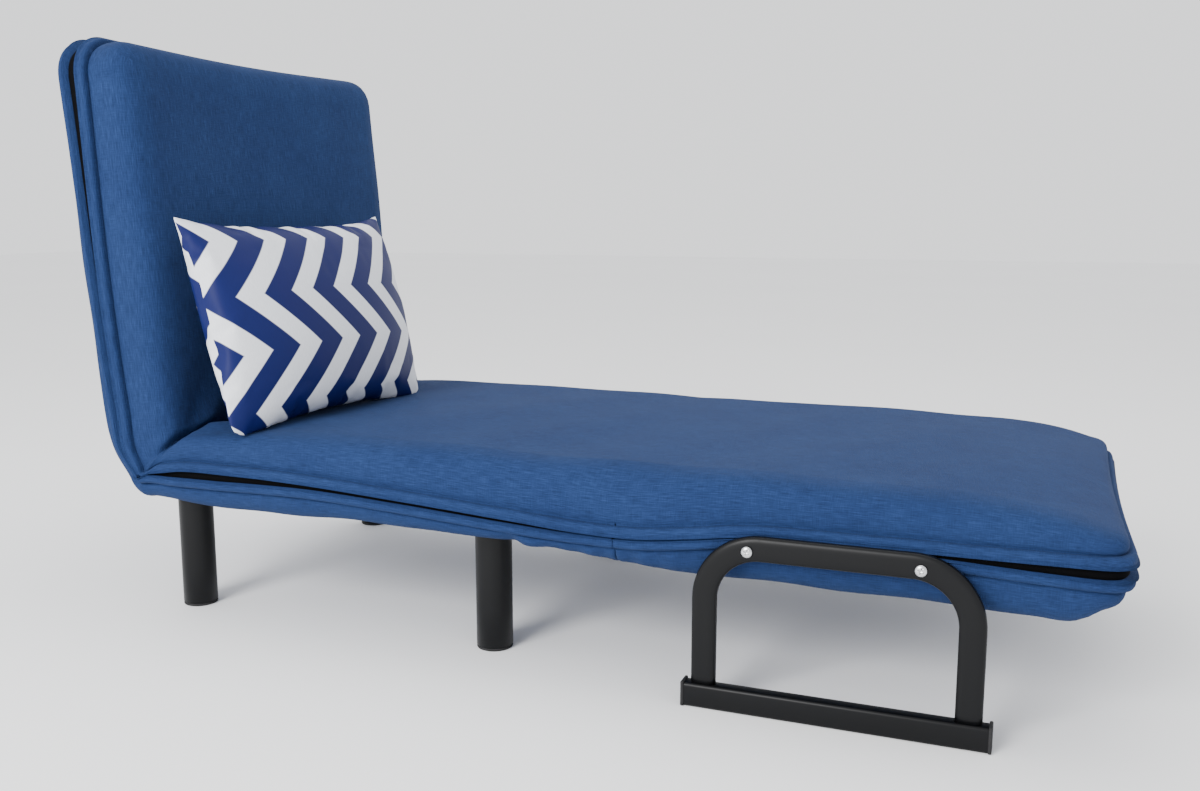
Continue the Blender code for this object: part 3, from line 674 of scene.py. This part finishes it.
def pleats(x, share, is_lip):
    """Gathers of the lower shell beside the seam at the fold and where it bunches behind the front legs."""
    wall = (1 - is_lip) * np.clip(share, 0, 1)
    wall = wall * (1 - wall) * 4
    seam = np.exp(-(((x - FOLD_AXIS.x) / 0.075) ** 2)) * (1 - bump(x, FOLD_AXIS.x, 0.004))
    out = 0.0035 * seam * np.sin((x - FOLD_AXIS.x) * 2 * math.pi / 0.036 + 1.3)
    bunch = x - LEG_X - 0.585
    out += 0.0055 * np.exp(-((bunch / 0.018) ** 2)) - 0.0050 * np.exp(-(((bunch + 0.026) / 0.012) ** 2))
    out += 0.0016 * np.sin(x * 23.0 + 0.5) * np.sin(x * 7.3)
    return out * wall


def belly(x, y, share):
    """Uneven sag of the lower shell's underside."""
    under = np.clip(1 - share, 0, 1) ** 2
    waves = 0.0018 * np.sin(x * 19.0 + y * 4.0) * np.sin(y * 8.0 + 1.0) + 0.0010 * np.sin(x * 43.0 - y * 12.0)
    return -under * waves


def lower_finish(fanned):
    """Gathers and sags the lower shell; its seat-and-back length is bent round the hinge."""
    def finish(points, share, is_lip):
        y = points[:, 1].copy()
        real_x = unfanned(points[:, 0])
        points[:, 1] = push_out(y, pleats(real_x, share, is_lip) + hinge_room(real_x))
        points[:, 2] += belly(real_x, y, share) * (1 - is_lip)
        if fanned:
            return fan_back(points[:, 0], points[:, 1], points[:, 2])
        return points
    return finish


class CHAIRBED_OT_lower_covers(bpy.types.Operator):
    """Makes the lower covers: one under the seat and behind the back, and one under the foot section."""

    bl_idname = "chairbed.lower_covers"
    bl_label = "Lower covers"

    def execute(self, context):
        head, foot = head_section(FAN_LENGTH), foot_section()
        seat_cover = make_cover("seat_and_back_lower_cover", head, False, lower_finish(True))
        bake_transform(seat_cover)
        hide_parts("seat_lower_cover", "back_rear_cover")
        foot_cover = make_cover("foot_section_lower_cover", foot, False, lower_finish(False))
        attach(foot_cover, "foot")
        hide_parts("foot_lower_cover")
        return {"FINISHED"}


# zip tape from the lower band to the upper one: distance beyond the start of the rounding, and height share
TAPE_PROFILE = [
    (0.0440, -1.0), (0.0480, -0.75), (0.0508, -0.35), (0.0512, 0.0), (0.0508, 0.35), (0.0480, 0.75), (0.0440, 1.0),
]
TAPE_OVERLAP = 0.004
PANEL_ROWS = 14
PANEL_SHARE = 0.9985


def make_tape(name, section):
    """Zip tape that closes the slit between the two bands, all round a section."""
    base_x, base_y, angle, side = section.ring(14)
    rhos, heights = np.array(TAPE_PROFILE).T
    run = np.concatenate([[0], np.cumsum(np.hypot(np.diff(base_x), np.diff(base_y)) + 0.002)])

    def place(i, j):
        out_x, out_y = rim_offsets(angle[i], rhos[j], section.growth)
        x = base_x[i] + section.sign * out_x - section.end_sag(base_x[i], base_y[i])
        y = base_y[i] + side[i] * out_y
        zip_z, gap = zip_line(x, y)
        z = zip_z + heights[j] * (gap / 2 + TAPE_OVERLAP)
        points = np.stack([x, y, z], 1)
        if section.sign < 0:
            points = raise_back(points)
        return points, np.stack([run[i], heights[j] * 0.006], 1)

    bm = sheet_mesh(len(base_x), len(rhos), place)
    bmesh.ops.recalc_face_normals(bm, faces=bm.faces)
    tape = new_object(name, bm, material("zip_tape_black"))
    if section.sign < 0:
        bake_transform(tape)
        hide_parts("seat_zip_near", "seat_zip_far", "back_zip")
    else:
        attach(tape, "foot")
        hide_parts("foot_zip")


def end_outline(section, upper):
    """Outline of a cover's open edge at the fold."""
    profile = profile_table(UPPER_PROFILE if upper else LOWER_PROFILE)
    finish = upper_finish(False, settings()[0].crown) if upper else lower_finish(False)
    _, rows, place = cover_place(section, profile, upper, finish)
    points, _ = place(np.zeros(rows, int), np.arange(rows))
    return points


def make_end_panel(name, section, body):
    """Flat cloth panel that closes a section at the fold."""
    top = end_outline(section, True)
    bottom = end_outline(section, False)

    def place(i, j):
        f = (j / (PANEL_ROWS - 1))[:, None]
        points = top[i] * (1 - f) + bottom[i] * f
        points[:, 0] = section.open_x + section.sign * 0.0005
        points[:, 1] *= PANEL_SHARE
        return points, points[:, 1:3].copy()

    bm = sheet_mesh(len(top), PANEL_ROWS, place, flip=section.sign > 0)
    panel = new_object(name, bm, material("blue_linen"))
    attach(panel, body)


class CHAIRBED_OT_zips(bpy.types.Operator):
    """Makes the zip tapes and the panels that close the two sections at the fold."""

    bl_idname = "chairbed.zips"
    bl_label = "Zips and end panels"

    def execute(self, context):
        head, foot = head_section(), foot_section()
        make_tape("seat_and_back_zip_tape", head)
        make_tape("foot_section_zip_tape", foot)
        make_end_panel("seat_end_panel", head, "seat")
        make_end_panel("foot_section_end_panel", foot, "foot")
        return {"FINISHED"}


# shares of the foam's length, width and thickness that fit inside the rounded covers
FOAM_SHARES = {"seat": (0.94, 0.90, 0.90), "back": (0.93, 0.90, 0.74), "foot": (0.84, 0.86, 0.86)}


class CHAIRBED_OT_foam(bpy.types.Operator):
    """Makes the three foam pads inside the covers."""

    bl_idname = "chairbed.foam"
    bl_label = "Foam pads"

    def execute(self, context):
        for body in ("seat", "back", "foot"):
            bm = bmesh.new()
            bm.from_mesh(frame["nodes"][f"{body}_foam"].data)
            bmesh.ops.remove_doubles(bm, verts=bm.verts, dist=0.0002)
            flat_turn = Matrix.Rotation(-RECLINE if body == "back" else 0.0, 3, "Y")
            bmesh.ops.rotate(bm, verts=bm.verts, cent=BACK_AXIS, matrix=flat_turn)
            places = np.array([v.co for v in bm.verts])
            anchor = Vector(((places[:, 0].min() + places[:, 0].max()) / 2, 0.0, places[:, 2].min()))
            bmesh.ops.translate(bm, vec=-anchor, verts=bm.verts)
            bmesh.ops.scale(bm, vec=FOAM_SHARES[body], verts=bm.verts)
            bmesh.ops.translate(bm, vec=anchor, verts=bm.verts)
            bmesh.ops.rotate(bm, verts=bm.verts, cent=BACK_AXIS, matrix=flat_turn.transposed())
            pad = new_object(f"{body}_foam_pad", bm, material("cream_foam"))
            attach(pad, body)
            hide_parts(f"{body}_foam")
        return {"FINISHED"}


# ---------------------------------------------------------------- metalwork

def spin_piece(name, profile, finish, centre, axis="Z", segments=64):
    """Turned piece from a profile of radius and height; its place is in its mesh."""
    bm = bmesh.new()
    verts = [bm.verts.new((radius, 0.0, height)) for radius, height in profile]
    for a, b in zip(verts, verts[1:]):
        bm.edges.new((a, b))
    bmesh.ops.spin(bm, geom=bm.verts[:] + bm.edges[:], cent=(0, 0, 0), axis=(0, 0, 1), angle=2 * math.pi,
                   steps=segments, use_merge=True, use_duplicate=False)
    bmesh.ops.remove_doubles(bm, verts=bm.verts, dist=0.00001)
    bmesh.ops.recalc_face_normals(bm, faces=bm.faces)
    if axis != "Z":
        sign = 1 if axis == "Y" else -1
        bmesh.ops.rotate(bm, verts=bm.verts, cent=(0, 0, 0), matrix=Matrix.Rotation(-sign * math.pi / 2, 3, "X"))
    bmesh.ops.translate(bm, vec=centre, verts=bm.verts)
    return new_object(name, bm, finish)


def bevelled_box(name, low, high, offset, finish, segments=4):
    """Box between two corners, with rounded edges."""
    low, high = Vector(low), Vector(high)
    bm = bmesh.new()
    bmesh.ops.create_cube(bm, size=1.0)
    bmesh.ops.scale(bm, vec=high - low, verts=bm.verts)
    bmesh.ops.translate(bm, vec=(high + low) / 2, verts=bm.verts)
    bmesh.ops.bevel(bm, geom=bm.edges[:], offset=offset, segments=segments, profile=0.5, affect="EDGES", material=-1)
    return new_object(name, bm, finish)


class CHAIRBED_OT_slider(bpy.types.Operator):
    """Makes the zip's slider and its pull tab."""

    bl_idname = "chairbed.slider"
    bl_label = "Zip slider"

    def execute(self, context):
        low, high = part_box("zip_slider")
        body_x = high[0] - 0.012
        middle = (low[2] + high[2]) / 2
        face = high[1] - 0.0013
        zinc = material("zinc_plate")
        parts = [
            bevelled_box("slider_body", (body_x, low[1] - 0.0030, low[2]), (high[0], face, high[2]), 0.0012, zinc),
            bevelled_box("slider_bridge", (body_x + 0.002, face - 0.0004, middle - 0.001),
                         (high[0] - 0.002, high[1], middle + 0.001), 0.0005, zinc),
            bevelled_box("slider_pull", (low[0], face + 0.0002, middle - 0.0025),
                         (body_x + 0.004, high[1] - 0.0003, middle + 0.0025), 0.0004, zinc),
        ]
        for part in parts:
            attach(part, "zip_slider")
        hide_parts("zip_slider")
        return {"FINISHED"}


LEG_WALL = 0.0022
GLIDE_TOP = 0.012  # how far the glide's plug reaches up inside the tube


class CHAIRBED_OT_legs(bpy.types.Operator):
    """Makes the four round legs and their glides."""

    bl_idname = "chairbed.legs"
    bl_label = "Legs and glides"

    def execute(self, context):
        for end in ("rear", "front"):
            for where in ("near", "far"):
                low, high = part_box(f"leg_{end}_{where}")
                centre = ((low[0] + high[0]) / 2, (low[1] + high[1]) / 2, 0.0)
                r, bottom, top = (high[0] - low[0]) / 2, low[2], high[2]
                leg = spin_piece(f"leg_{end}_{where}_tube", [
                    (r - LEG_WALL, bottom + 0.004), (r - LEG_WALL, bottom + 0.0004), (r - 0.0016, bottom),
                    (r - 0.0006, bottom + 0.0002), (r, bottom + 0.0010), (r, bottom + 0.05), (r, top - 0.03),
                    (r, top - 0.0006), (r - 0.0008, top), (0.0, top),
                ], material("black_paint"), centre)
                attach(leg, "seat")
                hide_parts(f"leg_{end}_{where}")
                glide = spin_piece(f"leg_{end}_{where}_glide", [
                    (0.0, 0.0), (r - 0.0030, 0.0), (r - 0.0008, 0.0006), (r - 0.0002, 0.0018), (r - 0.0004, 0.0034),
                    (r - 0.0012, bottom - 0.0003), (r - 0.0030, bottom - 0.0002), (r - 0.0032, GLIDE_TOP), (0.0, GLIDE_TOP),
                ], material("black_glide"), centre)
                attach(glide, "seat")
                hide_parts(f"leg_glide_{end}_{where}")
        return {"FINISHED"}


# flat-oval tube of the arm frames, and the bolts that hold them
ARM_HALF_WIDE = 0.015
ARM_HALF_DEEP = 0.0075
ARM_SQUARENESS = 3.2
ARM_RING = 48
BOLT_HEAD_HEIGHT = 0.0034
RECESS_SIZE = (0.0074, 0.0040, 0.0014)
RECESS_TURN = 0.35


def arm_centre_line(rear_x, front_x, low_z, top_z, bend):
    """Points and tangents of the arch, evenly spaced round its bends."""
    points = [(rear_x, z) for z in np.linspace(low_z, top_z - bend, 12, endpoint=False)]
    points += [(rear_x + bend - bend * math.cos(a), top_z - bend + bend * math.sin(a))
               for a in np.linspace(0, math.pi / 2, 22)]
    points += [(x, top_z) for x in np.linspace(rear_x + bend, front_x - bend, 14)[1:-1]]
    points += [(front_x - bend + bend * math.sin(a), top_z - bend + bend * math.cos(a))
               for a in np.linspace(0, math.pi / 2, 22)]
    points += [(front_x, z) for z in np.linspace(top_z - bend, low_z, 13)[1:]]
    path = np.array(points)
    tangent = np.gradient(path, axis=0)
    return path, tangent / np.linalg.norm(tangent, axis=1, keepdims=True)


def make_arm(where, side):
    """Arched arm frame of flat-oval tube, with its floor bar and standoffs."""
    sizes, _ = settings()
    low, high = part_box(f"arm_frame_{where}")
    y = side * (max(abs(low[1]), abs(high[1])) - ARM_HALF_DEEP)
    path, tangent = arm_centre_line(
        low[0] + ARM_HALF_WIDE, high[0] - ARM_HALF_WIDE, low[2], high[2] - ARM_HALF_WIDE, sizes.arm_bend,
    )

    def place(i, j):
        angle = 2 * math.pi * j / ARM_RING
        c, s = np.cos(angle), np.sin(angle)
        power = 2 / ARM_SQUARENESS
        wide = ARM_HALF_WIDE * np.sign(c) * np.abs(c) ** power
        deep = ARM_HALF_DEEP * np.sign(s) * np.abs(s) ** power
        t = tangent[i]
        points = np.stack([path[i, 0] - t[:, 1] * wide, y + deep, path[i, 1] + t[:, 0] * wide], 1)
        return points, np.stack([i * 0.01, j * 0.002], 1)

    bm = sheet_mesh(len(path), ARM_RING + 1, place, close_rows=True)
    bmesh.ops.holes_fill(bm, edges=bm.edges, sides=0)
    bmesh.ops.recalc_face_normals(bm, faces=bm.faces)
    arm = new_object(f"arm_{where}_tube", bm, material("black_paint"))
    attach(arm, "foot")
    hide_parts(f"arm_frame_{where}")
    make_floor_bar(where)
    make_standoffs(where, side, y)


def make_floor_bar(where):
    """Straight bar across the feet of an arm frame, with a cap on each end."""
    low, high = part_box(f"arm_floor_bar_{where}")
    bar = bevelled_box(f"arm_{where}_floor_bar", low, high, 0.0045, material("black_paint"), segments=5)
    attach(bar, "foot")
    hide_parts(f"arm_floor_bar_{where}")
    for end, x in (("rear", low[0]), ("front", high[0])):
        outwards = 0.0006 if end == "front" else -0.0006
        inner = x - outwards * 6
        cap = bevelled_box(
            f"arm_{where}_bar_cap_{end}",
            (min(inner, x + outwards), low[1] - 0.0010, low[2] + 0.0003),
            (max(inner, x + outwards), high[1] + 0.0010, high[2] + 0.0014), 0.0017, material("black_glide"),
        )
        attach(cap, "foot")


def make_standoffs(where, side, arm_y):
    """Sleeves and bolts that hold an arm frame off the foot section's rail."""
    for end in ("rear", "front"):
        low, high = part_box(f"arm_bolt_{end}_{where}")
        centre = ((low[0] + high[0]) / 2, 0.0, (low[2] + high[2]) / 2)
        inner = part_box(f"foot_rail_{where}")[0 if side < 0 else 1][1] + side * 0.0005
        length = abs(arm_y - side * 0.004 - inner)
        sleeve = spin_piece(f"arm_standoff_{end}_{where}", [
            (0.0045, 0.0), (0.0060, 0.0), (0.0065, 0.0005), (0.0065, length), (0.0045, length),
        ], material("black_paint"), (centre[0], inner, centre[2]), axis="Y" if side > 0 else "-Y", segments=32)
        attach(sleeve, "foot")
        make_bolt(end, where, side, centre)


def make_bolt(end, where, side, centre):
    """Pan-head bolt with a cross recess."""
    low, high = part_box(f"arm_bolt_{end}_{where}")
    head_y = (high[1] if side > 0 else low[1]) - side * BOLT_HEAD_HEIGHT
    shank = abs(head_y - (low[1] if side > 0 else high[1]))
    bolt = spin_piece(f"arm_bolt_{end}_{where}_pan_head", [
        (0.0, -shank), (0.0034, -shank), (0.0040, -shank + 0.001), (0.0040, -0.0002), (0.0066, 0.0), (0.0068, 0.0006),
        (0.0067, 0.0014), (0.0060, 0.0022), (0.0045, 0.0029), (0.0025, 0.0033), (0.0, BOLT_HEAD_HEIGHT),
    ], material("zinc_plate"), (centre[0], head_y, centre[2]), axis="Y" if side > 0 else "-Y", segments=40)
    cutter = bmesh.new()
    for turn in (RECESS_TURN, RECESS_TURN + math.pi / 2):
        made = bmesh.ops.create_cube(cutter, size=1.0)["verts"]
        bmesh.ops.scale(cutter, vec=RECESS_SIZE, verts=made)
        bmesh.ops.rotate(cutter, verts=made, cent=(0, 0, 0), matrix=Matrix.Rotation(turn, 3, "Y"))
    bmesh.ops.translate(cutter, vec=(centre[0], head_y + side * BOLT_HEAD_HEIGHT, centre[2]), verts=cutter.verts)
    tool = new_object("recess_tool", cutter, material("zinc_plate"))
    apply_boolean(bolt, tool)
    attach(bolt, "foot")
    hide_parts(f"arm_bolt_{end}_{where}")


def apply_boolean(piece, tool):
    """Cuts the tool's shape out of a piece and removes the tool."""
    cut = piece.modifiers.new("cut", "BOOLEAN")
    cut.object = tool
    cut.operation = "DIFFERENCE"
    cut.use_self = True
    bpy.context.view_layer.update()
    mesh = bpy.data.meshes.new_from_object(piece.evaluated_get(bpy.context.evaluated_depsgraph_get()))
    piece.modifiers.clear()
    piece.data = mesh
    bpy.data.objects.remove(tool)


class CHAIRBED_OT_arms(bpy.types.Operator):
    """Makes the two arm frames with their floor bars, standoffs and bolts."""

    bl_idname = "chairbed.arms"
    bl_label = "Arm frames"

    def execute(self, context):
        make_arm("near", -1)
        make_arm("far", 1)
        return {"FINISHED"}


class CHAIRBED_OT_finishes(bpy.types.Operator):
    """Gives every material its look and dresses the inner hardware."""

    bl_idname = "chairbed.finishes"
    bl_label = "Materials"

    def execute(self, context):
        _, colours = settings()
        linen_material("blue_linen", tuple(colours.linen))
        metal_material("black_paint", tuple(colours.black_paint), 0.38, 0.0, shine=0.20)
        metal_material("zinc_plate", (0.62, 0.63, 0.64), 0.28, 1.0)
        metal_material("frame_steel", (0.30, 0.31, 0.32), 0.42, 0.9)
        metal_material("spring_steel", (0.36, 0.37, 0.39), 0.33, 1.0)
        plain_textile("black_glide", (0.016, 0.016, 0.017), 0.75, 400.0)
        plain_textile("zip_tape_black", (0.0022, 0.0022, 0.0026), 0.95, 900.0, shine=0.08)
        plain_textile("cream_foam", (0.74, 0.70, 0.58), 0.97, 260.0)
        cushion_material("zigzag_satin", colours)
        dress = {
            "rail": "frame_steel", "crossbar": "frame_steel", "ratchet": "frame_steel", "ear": "frame_steel",
            "spring": "spring_steel", "foam": "cream_foam", "pin": "frame_steel", "rivet": "zinc_plate",
            "zip": "zip_tape_black",
        }
        for name, node in frame["nodes"].items():
            for word, finish in dress.items():
                if word in name.split("_"):
                    for slot in node.material_slots:
                        slot.material = material(finish)
        return {"FINISHED"}


# ---------------------------------------------------------------- cushion

CUSHION_WAIST = 0.030  # how far the sides pull in between the corners
CUSHION_CORNER = 0.016  # how far the lower corners are drawn in
CUSHION_GRID = (110, 76)
CUSHION_SHIFT = (-0.002, 0.0, -0.005)
PUFF_FRAMES = 14
PUFF_PRESSURE = 2.2
SATIN_STIFFNESS = 9.0
SATIN_BENDING = 0.12
SEAT_GAP = 0.0010
SEAT_EDGE_DROP = 0.012


def plumped(u, v, side, size_y, size_z, depth):
    """Place of a panel point, whose u and v run from -1 to 1, on the filled cushion."""
    waist_u = 1 - CUSHION_WAIST * (1 - v**4)
    waist_v = 1 - 2.4 * CUSHION_WAIST * (1 - u**4)
    swell = (1 - abs(u) ** 2.6) ** 0.84 * (1 - abs(v) ** 2.4) ** 0.70
    gather = 1.6 * math.sin(u * 41.0 + 1.7 * math.sin(u * 13.0)) * abs(v) ** 5 * (1 - u**6)
    gather += math.sin(v * 29.0 + 1.1 * math.sin(v * 11.0)) * abs(u) ** 9 * (1 - v**6)
    thick = 0.0012 * (1 - max(abs(u), abs(v)) ** 16) + swell * depth / 2 + 0.0022 * gather * swell**0.3
    corner = (abs(u) * abs(v)) ** 10 * (CUSHION_CORNER if v < 0 else 0.15 * CUSHION_CORNER)
    return u * (size_y / 2 * waist_u - corner), v * (size_z / 2 * waist_v - corner), side * thick


def cushion_shape(size_y, size_z, depth, count_y, count_z):
    """Two panels sewn together round their edges and already plumped, in the local XY plane."""
    bm = bmesh.new()
    uv = bm.loops.layers.uv.new("cloth")
    for side in (1, -1):
        made = bmesh.ops.create_grid(bm, x_segments=count_y, y_segments=count_z, size=1.0)["verts"]
        faces = {face for vert in made for face in vert.link_faces}
        for face in faces:
            for loop in face.loops:
                u, v = loop.vert.co.xy
                loop[uv].uv = (u * size_y / 2 + 0.5 + (side < 0) * 0.021, v * size_z / 2 + 0.5)
        if side < 0:
            bmesh.ops.reverse_faces(bm, faces=list(faces))
        for vert in made:
            u, v = (min(1.0, max(-1.0, place)) for place in vert.co.xy)
            vert.co = plumped(u, v, side, size_y, size_z, depth)
    bmesh.ops.remove_doubles(bm, verts=bm.verts, dist=0.0004)
    return bm


def run_cloth(obj):
    """Lets the sewn cushion swell a little as cloth and returns its vertex places."""
    cloth = obj.modifiers.new("cloth", "CLOTH")
    values = cloth.settings
    values.quality = 6
    values.mass = 0.25
    values.tension_stiffness = SATIN_STIFFNESS
    values.compression_stiffness = SATIN_STIFFNESS
    values.shear_stiffness = SATIN_STIFFNESS * 0.5
    values.bending_stiffness = SATIN_BENDING
    values.use_pressure = True
    values.uniform_pressure_force = PUFF_PRESSURE
    values.effector_weights.gravity = 0.0
    cloth.point_cache.frame_start = 1
    cloth.point_cache.frame_end = PUFF_FRAMES
    scene = bpy.context.scene
    for step in range(1, PUFF_FRAMES + 1):
        scene.frame_set(step)
    places = get_places(obj.evaluated_get(bpy.context.evaluated_depsgraph_get()))
    obj.modifiers.clear()
    scene.frame_set(1)
    return places


def get_places(obj):
    """Vertex places of an object."""
    places = np.empty(len(obj.data.vertices) * 3)
    obj.data.vertices.foreach_get("co", places)
    return places.reshape(-1, 3)


def set_places(obj, places):
    """Moves an object's vertices."""
    obj.data.vertices.foreach_set("co", np.asarray(places, float).ravel())
    obj.data.update()


class CHAIRBED_OT_cushion(bpy.types.Operator):
    """Sews and fills the lumbar cushion and leans it on the back."""

    bl_idname = "chairbed.cushion"
    bl_label = "Cushion"

    def execute(self, context):
        sizes, _ = settings()
        bm = cushion_shape(sizes.cushion_width, sizes.cushion_height, sizes.cushion_depth, *CUSHION_GRID)
        cushion = new_object("lumbar_cushion", bm, material("zigzag_satin"))
        places = run_cloth(cushion)
        places *= np.array([sizes.cushion_width, sizes.cushion_height, sizes.cushion_depth]) / np.ptp(places, axis=0)
        local = places[:, [2, 0, 1]]
        low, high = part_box("pillow")
        turn = Matrix.Rotation(sizes.cushion_yaw, 3, "Z") @ Matrix.Rotation(sizes.cushion_lean, 3, "Y")
        centre = np.array([(low[k] + high[k]) / 2 for k in range(3)])
        world = local @ np.array(turn).T + centre + np.array(CUSHION_SHIFT)
        over_edge = np.clip(np.abs(world[:, 1]) - HALF_W + EDGE_IN, 0.0, EDGE_IN)
        floor = curve_value(world[:, 0], TOP_HEIGHT) + SEAT_GAP - SEAT_EDGE_DROP * (over_edge / EDGE_IN) ** 3
        world[:, 2] = np.where(world[:, 2] < floor, floor + (world[:, 2] - floor) * 0.02, world[:, 2])
        set_places(cushion, world)
        smooth = cushion.modifiers.new("smooth", "SUBSURF")
        smooth.levels = 1
        smooth.render_levels = 1
        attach(cushion, "pillow")
        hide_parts("pillow")
        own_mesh(cushion)
        return {"FINISHED"}


# ---------------------------------------------------------------- stage

FLOOR_HALF = 14.0
SKY_COLOUR = (0.97, 0.98, 1.0, 1.0)
SKY_STRENGTH = 1.45
# name, place, the point it faces, size and power
LIGHTS = [
    ("key", (-0.9, -3.3, 1.9), (-0.1, 0.0, 0.25), 1.8, 165.0),
    ("top", (0.3, 0.8, 3.4), (0.1, 0.0, 0.2), 2.6, 26.0),
]
CAMERA_PLACE = (0.6098, -1.5961, 0.5870)
CAMERA_DOWN = math.radians(8.984)
CAMERA_TURN = math.radians(21.242)


class CHAIRBED_OT_stage(bpy.types.Operator):
    """Lays a pale floor and sets soft lights and the camera."""

    bl_idname = "chairbed.stage"
    bl_label = "Stage"

    def execute(self, context):
        scene = context.scene
        bm = bmesh.new()
        bmesh.ops.create_grid(bm, x_segments=1, y_segments=1, size=FLOOR_HALF)
        floor_material, shader, add, join = node_tools("pale_floor")
        place = add("ShaderNodeTexCoord").outputs["Object"]
        tone = ramp(add, join, stretched_noise(add, join, place, (0.6, 0.6, 0.6)),
                    [(0.3, (0.93, 0.93, 0.93)), (0.7, (0.95, 0.95, 0.95))])
        join(tone, shader.inputs["Base Color"])
        shader.inputs["Roughness"].default_value = 0.85
        floor = new_object("floor", bm, floor_material)
        world = bpy.data.worlds.new("studio")
        world.use_nodes = True
        sky = world.node_tree.nodes["Background"]
        sky.inputs["Color"].default_value = SKY_COLOUR
        sky.inputs["Strength"].default_value = SKY_STRENGTH
        scene.world = world
        for light in LIGHTS:
            self.add_light(*light)
        self.add_camera(scene)
        return {"FINISHED"}

    def add_light(self, name, place, target, size, power):
        """Round soft light that faces a point."""
        data = bpy.data.lights.new(name, "AREA")
        data.shape = "DISK"
        data.size = size
        data.energy = power
        light = bpy.data.objects.new(name, data)
        bpy.context.scene.collection.objects.link(light)
        light.location = place
        light.rotation_euler = (Vector(target) - Vector(place)).to_track_quat("-Z", "Y").to_euler()

    def add_camera(self, scene):
        """Camera in front of the near corner."""
        sizes, _ = settings()
        data = bpy.data.cameras.new("camera")
        data.sensor_width = 36.0
        data.lens = sizes.camera_lens
        camera = bpy.data.objects.new("camera", data)
        scene.collection.objects.link(camera)
        camera.location = CAMERA_PLACE
        camera.rotation_euler = (math.pi / 2 - CAMERA_DOWN, 0.0, CAMERA_TURN)
        scene.camera = camera


# ---------------------------------------------------------------- settings, panel and main

class ChairBedSizes(bpy.types.PropertyGroup):
    """Sizes that can be changed before the steps run."""

    cloth_step: FloatProperty(
        name="Cloth step", description="Spacing of the covers' grid",
        default=0.0056, unit="LENGTH")
    crown: FloatProperty(
        name="Crown", description="Height that the pads swell in the middle",
        default=0.004, unit="LENGTH")
    arm_bend: FloatProperty(
        name="Arm bend", description="Radius of the arm frames' bends",
        default=0.067, unit="LENGTH")
    cushion_width: FloatProperty(
        name="Cushion width", description="Width across the seat",
        default=0.457, unit="LENGTH")
    cushion_height: FloatProperty(
        name="Cushion height", description="Height of the cushion",
        default=0.320, unit="LENGTH")
    cushion_depth: FloatProperty(
        name="Cushion depth", description="Thickness at its middle",
        default=0.132, unit="LENGTH")
    cushion_lean: FloatProperty(
        name="Cushion lean", description="How far it leans back",
        default=math.radians(-16.0), unit="ROTATION")
    cushion_yaw: FloatProperty(
        name="Cushion yaw", description="How far its far end comes forward",
        default=math.radians(-5.0), unit="ROTATION")
    camera_lens: FloatProperty(name="Lens", description="Focal length in millimetres", default=34.33)


class ChairBedColours(bpy.types.PropertyGroup):
    """Colours and the cushion's print."""

    linen: FloatVectorProperty(
        name="Linen", description="Cover cloth", subtype="COLOR",
        default=(0.0130, 0.0320, 0.100))
    black_paint: FloatVectorProperty(
        name="Black paint", description="Legs and arm frames", subtype="COLOR",
        default=(0.0022, 0.0024, 0.0030))
    cushion_navy: FloatVectorProperty(
        name="Cushion navy", description="Dark stripes", subtype="COLOR",
        default=(0.003, 0.0075, 0.080))
    cushion_white: FloatVectorProperty(
        name="Cushion white", description="Light stripes", subtype="COLOR",
        default=(0.74, 0.76, 0.80))
    stripe_pair: FloatProperty(
        name="Stripe pair", description="Width of a dark and a light stripe",
        default=0.0893, unit="LENGTH")
    zigzag_height: FloatProperty(
        name="Zigzag height", description="Height of half a zigzag",
        default=0.0825, unit="LENGTH")
    zigzag_slope: FloatProperty(
        name="Zigzag slope", description="Sideways run for each unit of height",
        default=0.99)


STEPS = ("finishes", "foam", "upper_covers", "lower_covers", "zips", "slider", "legs", "arms", "cushion", "stage")


class CHAIRBED_PT_panel(bpy.types.Panel):
    """Lists the steps that build the chair bed."""

    bl_idname = "CHAIRBED_PT_panel"
    bl_label = "Chair Bed"
    bl_space_type = "VIEW_3D"
    bl_region_type = "UI"
    bl_category = "Chair Bed"

    def draw(self, context):
        for step in STEPS:
            self.layout.operator(f"chairbed.{step}")


CLASSES = (
    ChairBedSizes, ChairBedColours, CHAIRBED_OT_finishes, CHAIRBED_OT_upper_covers, CHAIRBED_OT_lower_covers,
    CHAIRBED_OT_zips, CHAIRBED_OT_foam, CHAIRBED_OT_slider, CHAIRBED_OT_legs, CHAIRBED_OT_arms, CHAIRBED_OT_cushion,
    CHAIRBED_OT_stage, CHAIRBED_PT_panel,
)


def register():
    for item in CLASSES:
        bpy.utils.register_class(item)
    bpy.types.Scene.chair_bed_sizes = PointerProperty(type=ChairBedSizes)
    bpy.types.Scene.chair_bed_colours = PointerProperty(type=ChairBedColours)


def unregister():
    del bpy.types.Scene.chair_bed_colours
    del bpy.types.Scene.chair_bed_sizes
    for item in reversed(CLASSES):
        bpy.utils.unregister_class(item)


def main():
    register()
    for step in STEPS:
        getattr(bpy.ops.chairbed, step)()


if __name__ == "__main__":
    main()
